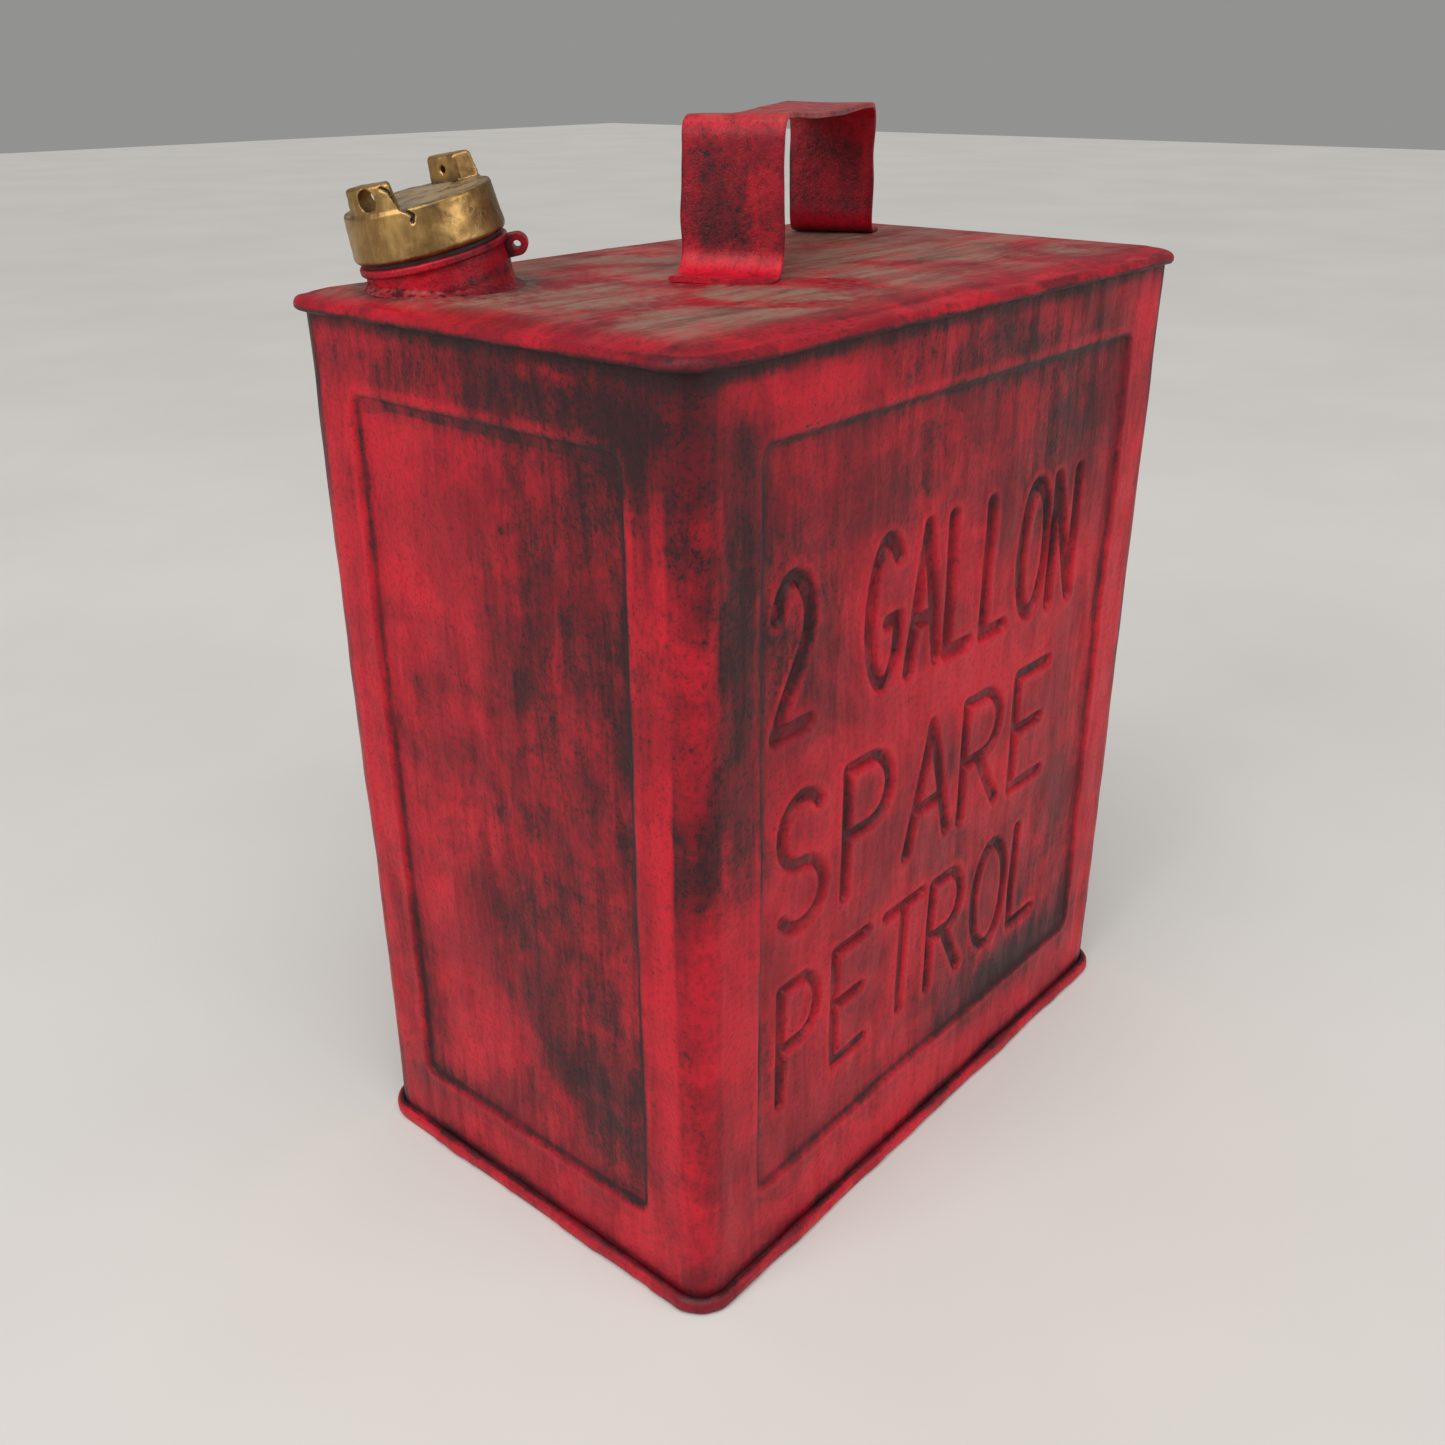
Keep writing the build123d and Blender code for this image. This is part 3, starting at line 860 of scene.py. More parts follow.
    def panel_distance(self, side: Side, along: np.ndarray, z: np.ndarray) -> np.ndarray:
        """Distance inside a wall's panel outline, negative outside it."""
        o = self.outline
        if side in (Side.FRONT, Side.REAR):
            half, (low, high) = o.half_width - self.panel_margins[side], self.wide_panel
        else:
            half, (low, high) = o.half_depth - self.panel_margins[side], self.narrow_panel
        qx = np.abs(along) - half + self.panel_corner
        qz = np.abs(z - (low + high) / 2) - (high - low) / 2 + self.panel_corner
        outside = np.hypot(np.maximum(qx, 0), np.maximum(qz, 0))
        return -(outside + np.minimum(np.maximum(qx, qz), 0) - self.panel_corner)

    def build_sheet(self, name: str, columns: list[tuple], lapped: bool) -> bpy.types.Object:
        """One wall sheet with its thickness.

        Args:
            name: The piece's name.
            columns: The plan stations of the sheet.
            lapped: True where its ends step in to lie under the other sheet.

        Returns:
            The finished piece.
        """
        coarse, fine = self.height_steps
        edges = [(v - EDGE_BAND, v + EDGE_BAND, fine)
                 for v in (*self.wide_panel, *self.narrow_panel)]
        if not lapped:
            edges.append((52 * MM, 228 * MM, self.word_step))
        heights = stations(self.foot, self.head, coarse, edges)
        x, y, nx, ny = (np.array([c[k] for c in columns]) for k in range(4))
        sides = np.array([c[4].value for c in columns])
        along = np.array([c[5] for c in columns])
        tall = len(heights)
        face_along = spread(along, tall)
        z = np.repeat(heights[None, :], len(columns), axis=0)
        press = np.zeros(z.shape)
        hollow = np.zeros(z.shape)
        wear_and_highlight = np.zeros(z.shape)
        for side in (Side.FRONT, Side.REAR, Side.LEFT, Side.RIGHT):
            rows = sides == side.value
            if not rows.any():
                continue
            inside = self.panel_distance(side, face_along[rows], z[rows])
            press[rows] = self.panel_depth * ramp_up(inside, -0.2 * MM, self.panel_bevel)
            # Painted shade: a dark line along the foot of the panel's bevel; painted highlight: a
            # lighter band just outside the panel's edge.
            line = np.exp(-((inside - 1.9 * MM) / (0.8 * MM)) ** 2)
            wide_line = np.exp(-((inside - 3.0 * MM) / (4.0 * MM)) ** 2)
            hollow[rows] += 0.7 * line + 0.22 * wide_line
            wear_and_highlight[rows] += 0.5 * np.exp(-((inside + 1.2 * MM) / (1.3 * MM)) ** 2)
            for patch in wall_patches():
                if patch.side is side:
                    across = (face_along[rows] - patch.along * MM) / (patch.wide * MM)
                    up = (z[rows] - patch.height * MM) / (patch.tall * MM)
                    hollow[rows] += patch.amount * np.exp(-(across ** 2 + up ** 2))
        front = sides == Side.FRONT.value
        if front.any():
            grooves = [w.groove(face_along[front], z[front]) for w in self.words]
            words = np.max([floor for floor, _ in grooves], axis=0)
            rims = np.max([rim for _, rim in grooves], axis=0)
            press[front] += self.word_depth * words - self.rim_height * rims
            # The letter grooves are set darker, partly as painted shade, and their raised rims
            # lighter as painted highlight.
            hollow[front] += 0.62 * words
            wear_and_highlight[front] += 0.40 * rims
        wide_x, wide_y = spread(x, tall), spread(y, tall)
        flat = np.stack([wide_x, wide_y, z], axis=-1).reshape(-1, 3)
        dent = 0.35 * MM * ripple(flat, 95 * MM, 11) + 0.10 * MM * ripple(flat, 22 * MM, 12)
        calm = ramp_up(z, self.foot, self.foot + 14 * MM)
        calm *= 1 - ramp_up(z, self.head - 14 * MM, self.head)
        press += np.abs(calm) * dent.reshape(z.shape)
        if lapped:
            from_start = np.hypot(x - x[0], y - y[0])
            from_end = np.hypot(x - x[-1], y - y[-1])
            near = np.minimum(from_start, from_end)
            tuck = 1.06 * self.sheet * (1 - ramp_up(near, self.lap, self.lap + 3 * MM))
            press += spread(tuck, tall)
            seam = np.exp(-((near - self.lap - 0.6 * MM) / (1.2 * MM)) ** 2)
            hollow += spread(seam, tall)
        # Painted shade: dark bands just under the top's skirt and just above the base bead.
        top_line = np.exp(-((self.head - 3.0 * MM - z) / (2.6 * MM)) ** 2)
        foot_line = np.exp(-((z - self.foot - 4.0 * MM) / (2.2 * MM)) ** 2)
        hollow += 1.1 * top_line + 0.9 * foot_line
        # The round corners are set darker towards the top, round mid-height and near the foot.
        corner = spread(sides == Side.CORNER.value, tall)
        corner_darkening = ramp_up(z, 205 * MM, 250 * MM) + 0.8 * np.exp(-((z - 155 * MM) / (20 * MM)) ** 2)
        corner_darkening += 0.5 * np.exp(-((z - 12 * MM) / (12 * MM)) ** 2)
        hollow += corner * (0.95 * corner_darkening - 0.1)
        outer = np.stack([wide_x - spread(nx, tall) * press, wide_y - spread(ny, tall) * press, z],
                         axis=-1)
        return self.skin(name, outer, nx, ny, hollow, wear_and_highlight)

    def skin(self, name: str, outer: np.ndarray, nx: np.ndarray, ny: np.ndarray, hollow: np.ndarray,
             wear_and_highlight: np.ndarray) -> bpy.types.Object:
        """Close the fine outer face with a coarser inner one.

        Args:
            name: The piece's name.
            outer: Points by column and height.
            nx: Outward x of each column.
            ny: Outward y of each column.
            hollow: How much dark wash and painted shade each point holds.
            wear_and_highlight: How much each point is lightened, as wear and painted highlight.

        Returns:
            The closed sheet.
        """
        columns, rows, _ = outer.shape
        pick_c = sorted({*range(0, columns, self.inner_stride), columns - 1})
        pick_r = sorted({*range(0, rows, self.inner_stride), rows - 1})
        inner = outer[np.ix_(pick_c, pick_r)].copy()
        inner[..., 0] -= nx[pick_c][:, None] * self.sheet
        inner[..., 1] -= ny[pick_c][:, None] * self.sheet
        points = np.vstack([outer.reshape(-1, 3), inner.reshape(-1, 3)])
        faces = []
        for c in range(columns - 1):
            base = c * rows
            faces += [(base + r, base + rows + r, base + rows + r + 1, base + r + 1)
                      for r in range(rows - 1)]
        shift, inner_rows = columns * rows, len(pick_r)
        for c in range(len(pick_c) - 1):
            base = shift + c * inner_rows
            faces += [(base + r, base + r + 1, base + inner_rows + r + 1, base + inner_rows + r)
                      for r in range(inner_rows - 1)]
        for k, (a, b) in enumerate(zip(pick_c, pick_c[1:])):
            low = [shift + k * inner_rows, shift + (k + 1) * inner_rows]
            faces.append((*low, *[c * rows for c in range(b, a - 1, -1)]))
            high = [shift + (k + 2) * inner_rows - 1, shift + (k + 1) * inner_rows - 1]
            faces.append((*high, *[c * rows + rows - 1 for c in range(a, b + 1)]))
        last = shift + (len(pick_c) - 1) * inner_rows
        for k, (a, b) in enumerate(zip(pick_r, pick_r[1:])):
            faces.append((shift + k + 1, shift + k, *range(a, b + 1)))
            far = (columns - 1) * rows
            faces.append((last + k, last + k + 1, *range(far + b, far + a - 1, -1)))
        piece = mesh_piece(name, points, faces)
        spare = len(points) - shift
        # The inner face, inside the can, is painted darker as shade.
        paint_points(piece, "hollow", np.concatenate([hollow.ravel(), np.full(spare, 0.6)]))
        paint_points(piece, "wear_and_highlight", np.concatenate([wear_and_highlight.ravel(), np.zeros(spare)]))
        smooth(piece, 40.0)
        return piece

    def build(self, paint: bpy.types.Material) -> None:
        """Build both sheets and hang them on the can."""
        for name, node, columns, lapped in (
            ("front_wall", "front_shell", self.front_columns(), False),
            ("rear_wall", "rear_shell", self.rear_columns(), True),
        ):
            wall = self.build_sheet(name, columns, lapped)
            dress(wall, paint)
            settle(wall, "can", node)


def settle(piece: bpy.types.Object, body: str, node: str) -> None:
    """Hang a finished piece on its body in place of a frame node, and report it.

    Args:
        piece: The finished piece.
        body: The body it rides on.
        node: The frame node it stands for.
    """
    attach(piece, body)
    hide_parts(node)
    log.info("%s: %d faces in place of %s", piece.name, len(piece.data.polygons), node)


def turn_out(piece: bpy.types.Object) -> None:
    """Make every face of a closed piece point outwards."""
    pick(piece)
    bpy.ops.object.mode_set(mode="EDIT")
    bpy.ops.mesh.select_all(action="SELECT")
    bpy.ops.mesh.normals_make_consistent(inside=False)
    bpy.ops.object.mode_set(mode="OBJECT")


def arc_profile(cx: float, cz: float, radius: float, start: float, stop: float,
                steps: int) -> list[tuple[float, float]]:
    """Points of an arc in a section, as (inset or radius, height), angles in degrees."""
    turns = [math.radians(start + (stop - start) * i / steps) for i in range(steps + 1)]
    return [(cx + radius * math.cos(t), cz + radius * math.sin(t)) for t in turns]


@dataclass
class PlanShell:
    """A sheet that follows the can's plan: its section is swept round and closed in the middle."""

    outline: Outline
    straight_steps: tuple[int, int] = (84, 52)
    corner_steps: int = 12

    def sweep(self, name: str, section: list[tuple[float, float]]) -> bpy.types.Object:
        """Sweep a section round the plan and close both its ends across the middle.

        Args:
            name: The piece's name.
            section: (inset, height) points from one face's middle round to the other's.

        Returns:
            The closed piece.
        """
        rings = []
        for inset, height in section:
            plan = self.outline.ring(inset, self.straight_steps, self.corner_steps)
            rings.append(np.column_stack([plan, np.full(len(plan), height)]))
        points, faces = stack_rings(rings)
        steps = (self.straight_steps, self.corner_steps)
        faces += close_slit(0, *steps, True)
        faces += close_slit(len(points) - len(rings[0]), *steps, False)
        piece = mesh_piece(name, points, faces)
        turn_out(piece)
        return piece

    def inset_of(self, points: np.ndarray) -> np.ndarray:
        """How far inside the walls' plan each point lies."""
        o = self.outline
        qx = np.abs(points[:, 0]) - o.half_width + o.corner
        qy = np.abs(points[:, 1]) - o.half_depth + o.corner
        outside = np.hypot(np.maximum(qx, 0), np.maximum(qy, 0))
        return o.corner - outside - np.minimum(np.maximum(qx, qy), 0)


@dataclass
class NeckFrame:
    """Where the leaning filler neck stands and how it is turned."""

    foot: Vector = field(default_factory=lambda: Vector((-92.0, 43.0, 285.8)) * MM)
    lean: float = math.radians(13.0)
    heading: float = math.radians(152.0)

    def axes(self) -> tuple[np.ndarray, np.ndarray, np.ndarray]:
        """Unit vectors: leaning side, across, and up the neck."""
        s, c = math.sin(self.lean), math.cos(self.lean)
        up = np.array([s * math.cos(self.heading), s * math.sin(self.heading), c])
        side = np.array([c * math.cos(self.heading), c * math.sin(self.heading), -s])
        return side, np.cross(up, side), up

    def place(self, radius: np.ndarray, turn: np.ndarray, height: np.ndarray) -> np.ndarray:
        """Points at a radius and turn about the neck, and a height up it."""
        side, across, up = self.axes()
        foot = np.array(self.foot)
        return (foot + np.multiply.outer(radius * np.cos(turn), side)
                + np.multiply.outer(radius * np.sin(turn), across) + np.multiply.outer(height, up))

    def measure(self, points: np.ndarray) -> tuple[np.ndarray, np.ndarray, np.ndarray]:
        """Radius, turn and height of points about the neck."""
        side, across, up = self.axes()
        away = points - np.array(self.foot)
        a, b = away @ side, away @ across
        return np.hypot(a, b), np.arctan2(b, a), away @ up

    def turn_of(self, heading: float) -> float:
        """Turn about the neck that faces a compass heading, in degrees."""
        side, across, _ = self.axes()
        flat = np.array([math.cos(math.radians(heading)), math.sin(math.radians(heading)), 0.0])
        return math.atan2(float(flat @ across), float(flat @ side))

    def lathe(self, name: str, section: list[tuple[float, float]],
              count: int = 120) -> bpy.types.Object:
        """Turn a closed section about the neck.

        Args:
            name: The piece's name.
            section: (radius, height) corners of the section, all off the axis.
            count: Steps round the neck.

        Returns:
            The closed ring.
        """
        turns = np.linspace(0, 2 * math.pi, count, endpoint=False)
        rings = [self.place(np.full(count, r), turns, np.full(count, s)) for r, s in section]
        points, faces = stack_rings(rings, closed=True)
        piece = mesh_piece(name, points, faces)
        turn_out(piece)
        return piece


@dataclass
class TopAndBase:
    """The folded top plate and the base pan with its rolled bead."""

    shell: PlanShell
    neck: NeckFrame
    middle: float = 73.0 * MM
    skirt_foot: float = 280.7 * MM
    shoulder: float = 284.2 * MM
    crown: float = 285.8 * MM
    reach: float = 3.0 * MM
    edge_round: float = 2.4 * MM
    bead_height: float = 5.6 * MM
    bead_reach: float = 2.9 * MM
    bead_round: float = 2.2 * MM
    hole_radius: float = 19.7 * MM
    cutter_reach: float = 12.0 * MM
    cutter_steps: int = 128

    def top_section(self) -> list[tuple[float, float]]:
        """Section of the top plate from its middle out, down the fold and back in beneath."""
        rise = self.crown - self.shoulder
        fold = -self.reach + self.edge_round
        flat = [(self.middle - step * 3.0 * MM, self.crown) for step in range(21)]
        slope = [(9.6 * MM - step * 0.92 * MM, 0.0) for step in range(11)]
        slope = [(i, self.shoulder + rise * float(ramp_up(np.array(i), fold, 9.0 * MM)) ** 0.8)
                 for i, _ in slope]
        edge = arc_profile(fold, self.shoulder - self.edge_round, self.edge_round, 90, 180, 8)
        lip = 0.8 * MM
        foot = arc_profile(-self.reach + lip, self.skirt_foot + lip, lip, 180, 270, 4)
        under = [(-0.4 * MM, self.skirt_foot), (-0.2 * MM, self.skirt_foot + 0.3 * MM),
                 (-0.2 * MM, 283.4 * MM), (6 * MM, 283.4 * MM), (12 * MM, 283.6 * MM),
                 (14 * MM, 284.6 * MM)]
        under += [(step * 10 * MM, 284.6 * MM) for step in range(2, 8)]
        under += [(self.middle, 284.6 * MM)]
        return flat + slope + edge[1:] + foot + under

    def base_section(self) -> list[tuple[float, float]]:
        """Section of the base pan: tray, slot for the walls, rolled bead and dish beneath."""
        high, low = self.bead_height - self.bead_round, self.bead_round
        across = -self.bead_reach + self.bead_round
        tray = [(self.middle - step * 10 * MM, 4.0 * MM) for step in range(8)]
        slot = [(3.0, 4.0), (3.0, 5.3), (2.1, 5.3), (2.05, 2.0), (0.0, 2.0), (0.0, 5.0),
                (-0.3, 5.5)]
        bead = arc_profile(across, high, self.bead_round, 90, 180, 7)
        bead += arc_profile(across, low, self.bead_round, 180, 270, 7)
        under = [(7.0, 0.0), (7.6, 0.5), (7.9, 2.6), (8.6, 3.0)]
        dish = [(step * 10 * MM, 3.0 * MM) for step in range(2, 8)] + [(self.middle, 3.0 * MM)]
        slot = [(a * MM, b * MM) for a, b in slot]
        under = [(a * MM, b * MM) for a, b in under]
        return tray + slot + bead + under + dish

    def neck_cutter(self) -> bpy.types.Object:
        """A leaning drum that cuts the neck's hole in the top."""
        count = self.cutter_steps
        turns = np.linspace(0, 2 * math.pi, count, endpoint=False)
        radius = np.full(count, self.hole_radius)
        rings = [self.neck.place(radius, turns, np.full(count, s))
                 for s in (-self.cutter_reach, self.cutter_reach)]
        points, faces = stack_rings(rings)
        faces += [tuple(range(count)), tuple(range(2 * count - 1, count - 1, -1))]
        cutter = mesh_piece("neck_cutter", points, faces)
        turn_out(cutter)
        return cutter

    def build_top(self, paint: bpy.types.Material, feet: list[tuple[float, float]]) -> None:
        """Build the top plate.

        Args:
            paint: Its finish.
            feet: Where the handle's feet bend up, as x, y in metres.
        """
        piece = self.shell.sweep("top_sheet", self.top_section())
        points = coordinates(piece)
        normals = point_normals(piece)
        inset = self.shell.inset_of(points)
        outer = (inset < 1.0 * MM) & (points[:, 2] > self.skirt_foot)
        lumps = 0.30 * MM * ripple(points, 26 * MM, 21) + 0.16 * MM * ripple(points, 9 * MM, 22)
        points[outer] += normals[outer] * lumps[outer, None]
        sag = 0.32 * MM * ripple(points, 80 * MM, 23) + 0.10 * MM * ripple(points, 21 * MM, 24)
        open_part = ramp_up(inset, 4 * MM, 14 * MM) * (points[:, 2] > 284 * MM)
        points[:, 2] += open_part * sag
        set_coordinates(piece, points)
        modify_cut(piece, self.neck_cutter())
        points = coordinates(piece)
        inset = self.shell.inset_of(points)
        radius, _, _ = self.neck.measure(points)
        # Darker round the neck's foot and the handle's feet, as painted shade with grime at the
        # joins, and painted shade along the skirt's lower edge; the random dark smudges on the edge
        # band are dirt.
        near_neck = np.exp(-((radius - 21.5 * MM) / (3.5 * MM)) ** 2)
        hollow = 0.85 * near_neck
        hollow += 1.3 * ramp_up(-points[:, 2], -self.skirt_foot - 1.6 * MM, -self.skirt_foot)
        hollow += 0.4 * (ripple(points, 60 * MM, 25) > 0.4) * (points[:, 2] < self.shoulder)
        for x, y in feet:
            away = (points[:, 0] - x) ** 2 + (points[:, 1] - y) ** 2
            hollow += 0.8 * np.exp(-away / (11 * MM) ** 2)
        settled = ramp_up(inset, 2.5 * MM, 17 * MM) * (points[:, 2] > self.crown - 2.4 * MM)
        settled += 0.5 * np.exp(-((radius - 30 * MM) / (9 * MM)) ** 2) * ramp_up(inset, 0, 4 * MM)
        # A lighter painted highlight along the lid's rounded outer edge.
        wear_and_highlight = 0.35 * np.exp(-((inset - 0.2 * MM) / (1.6 * MM)) ** 2)
        paint_points(piece, "hollow", hollow)
        paint_points(piece, "settled", settled)
        paint_points(piece, "wear_and_highlight", wear_and_highlight)
        smooth(piece, 45.0)
        dress(piece, paint)
        settle(piece, "can", "top_plate")

    def build_base(self, paint: bpy.types.Material) -> None:
        """Build the base pan."""
        piece = self.shell.sweep("base_pan", self.base_section())
        points = coordinates(piece)
        normals = point_normals(piece)
        inset = self.shell.inset_of(points)
        bead = (inset < -0.35 * MM) & (points[:, 2] > 0.6 * MM)
        lumps = 0.22 * MM * ripple(points, 30 * MM, 31) + 0.12 * MM * ripple(points, 8 * MM, 32)
        points[bead] += normals[bead] * lumps[bead, None]
        points[:, 2] = np.maximum(points[:, 2], 0.0)
        set_coordinates(piece, points)
        # Painted shade on the pan's top where the walls stand and over the tray inside; a dark spot
        # at the near corner; the bead's outer face is lighter as wear and painted highlight.
        hollow = 0.9 * ramp_up(points[:, 2], 4.6 * MM, 5.5 * MM)
        hollow += 0.6 * ramp_up(inset, -0.5 * MM, 3 * MM)
        corner = np.hypot(points[:, 0] + 121 * MM, points[:, 1] + 74 * MM)
        hollow += 0.9 * np.exp(-(corner / (14 * MM)) ** 2)
        paint_points(piece, "hollow", hollow)
        paint_points(piece, "wear_and_highlight", 0.45 * (inset < -1.6 * MM))
        smooth(piece, 45.0)
        dress(piece, paint)
        settle(piece, "can", "base_plate")


def modify_cut(piece: bpy.types.Object, cutter: bpy.types.Object) -> None:
    """Cut one piece with another and throw the cutter away.

    Args:
        piece: The piece that is cut.
        cutter: The shape taken out of it.
    """
    modify(piece, "BOOLEAN", operation="DIFFERENCE", object=cutter, solver="EXACT")
    bpy.data.objects.remove(cutter)


@dataclass
class StrapHandle:
    """The bent strap handle with its two feet on the top plate."""

    center: tuple[float, float] = (22.9 * MM, 13.2 * MM)
    turn: float = math.radians(23.0)
    deck: float = 285.8 * MM
    span: float = 117.0 * MM
    rise: float = 43.0 * MM
    width: float = 30.0 * MM
    strap: float = 1.6 * MM
    top_bend: float = 5.5 * MM
    foot_bend: float = 7.0 * MM
    foot: float = 12.0 * MM
    edge_round: float = 0.55 * MM
    sag: float = 1.2 * MM
    bend_steps: int = 10

    def axes(self) -> tuple[np.ndarray, np.ndarray]:
        """Unit vectors along the handle and across its strap."""
        along = np.array([math.cos(self.turn), math.sin(self.turn), 0.0])
        return along, np.array([math.sin(self.turn), -math.cos(self.turn), 0.0])

    def feet(self) -> list[tuple[float, float]]:
        """Where the legs meet the top plate, as x, y."""
        along, _ = self.axes()
        return [(self.center[0] + along[0] * k * self.span / 2,
                 self.center[1] + along[1] * k * self.span / 2)
                for k in (-1, 1)]

    def path(self) -> np.ndarray:
        """Middle line of the strap: along the handle, and height above the top plate."""
        half, low, high = self.span / 2, self.strap / 2, self.rise - self.strap / 2
        fb, tb = self.foot_bend, self.top_bend
        start = [(-half - self.foot + k * (self.foot - fb) / 6, low) for k in range(6)]
        rise = np.linspace(low + fb, high - tb, 22)[1:-1]
        left = arc_profile(-half - fb, low + fb, fb, -90, 0, self.bend_steps)
        left += [(-half, v) for v in rise]
        left += arc_profile(-half + tb, high - tb, tb, 180, 90, self.bend_steps)
        top = [(v, high) for v in np.linspace(-half + tb, half - tb, 60)[1:-1]]
        whole = start + left
        right = [(-x, z) for x, z in reversed(whole)]
        return np.array(whole + top + right)

    def build(self, paint: bpy.types.Material) -> None:
        """Build the strap and hang it on the can."""
        path = self.path()
        t = np.gradient(path, axis=0)
        t /= np.linalg.norm(t, axis=1)[:, None]
        normal = np.column_stack([-t[:, 1], t[:, 0]])
        half = self.span / 2
        loft = ramp_up(path[:, 1], self.rise * 0.5, self.rise)
        path = path.copy()
        path[:, 1] -= self.sag * loft * np.cos(np.clip(path[:, 0] / half, -1, 1) * math.pi / 2) ** 2
        w, h, r = self.width / 2, self.strap / 2, self.edge_round
        across = [(-w + r + (2 * w - 2 * r) * k / 14, h) for k in range(15)]
        ring = across + arc_profile(w - r, h - r, r, 90, 0, 3)[1:]
        ring += arc_profile(w - r, -h + r, r, 0, -90, 3)
        ring += [(-a, -b) for a, b in across][1:]
        ring += arc_profile(-w + r, -h + r, r, -90, -180, 3)[1:]
        ring += arc_profile(-w + r, h - r, r, 180, 90, 3)[:-1]
        ring = np.array(ring)
        along, side = self.axes()
        origin = np.array([*self.center, self.deck])
        rings = []
        for (x, z), (nx, nz) in zip(path, normal):
            rings.append(origin + along * x + np.array([0, 0, z]) + np.outer(ring[:, 0], side)
                         + np.outer(ring[:, 1], along * nx + np.array([0, 0, nz])))
        points, faces = stack_rings(rings)
        n = len(ring)
        faces += [tuple(range(n)), tuple(range(len(points) - 1, len(points) - n - 1, -1))]
        edge = np.tile(np.abs(ring[:, 0]) > w - 1.5 * r, len(path))
        high = ramp_up(points[:, 2], self.deck + 1.8 * MM, self.deck + 8 * MM)
        wave = 0.22 * MM * ripple(points, 30 * MM, 41) + 0.10 * MM * ripple(points, 9 * MM, 42)
        middle = 0.25 * MM * ripple(points, 45 * MM, 43)
        push = np.tile(np.sign(ring[:, 0]), len(path)) * edge * wave
        points += push[:, None] * side
        offset = np.repeat(normal[:, 0], n)[:, None] * along
        offset += np.repeat(normal[:, 1], n)[:, None] * np.array([0, 0, 1.0])
        points += (middle * high)[:, None] * offset
        piece = mesh_piece("handle_strap", points, faces)
        turn_out(piece)
        level = points[:, 2] - self.deck
        legs = ramp_up(level, 5 * MM, 12 * MM) * (1 - ramp_up(level, 27 * MM, 38 * MM))
        center = 1 - ramp_up(np.abs(np.tile(ring[:, 0], len(path))), 7 * MM, 14 * MM)
        # The top and foot bends are lighter as painted highlight.
        bends = np.exp(-((level - self.rise + 1.5 * MM) / (2.5 * MM)) ** 2) * (
            np.abs((points - origin) @ along) > half - 9 * MM)
        bends += np.exp(-((level - 3.5 * MM) / (2.5 * MM)) ** 2)
        paint_points(piece, "hollow", 0.42 * legs * (0.3 + 0.7 * center) + 0.25 * edge)
        paint_points(piece, "wear_and_highlight", 0.9 * bends)
        paint_points(piece, "settled", 0.5 * (level > self.rise - 2.4 * MM))
        smooth(piece, 45.0)
        dress(piece, paint)
        settle(piece, "can", "handle")


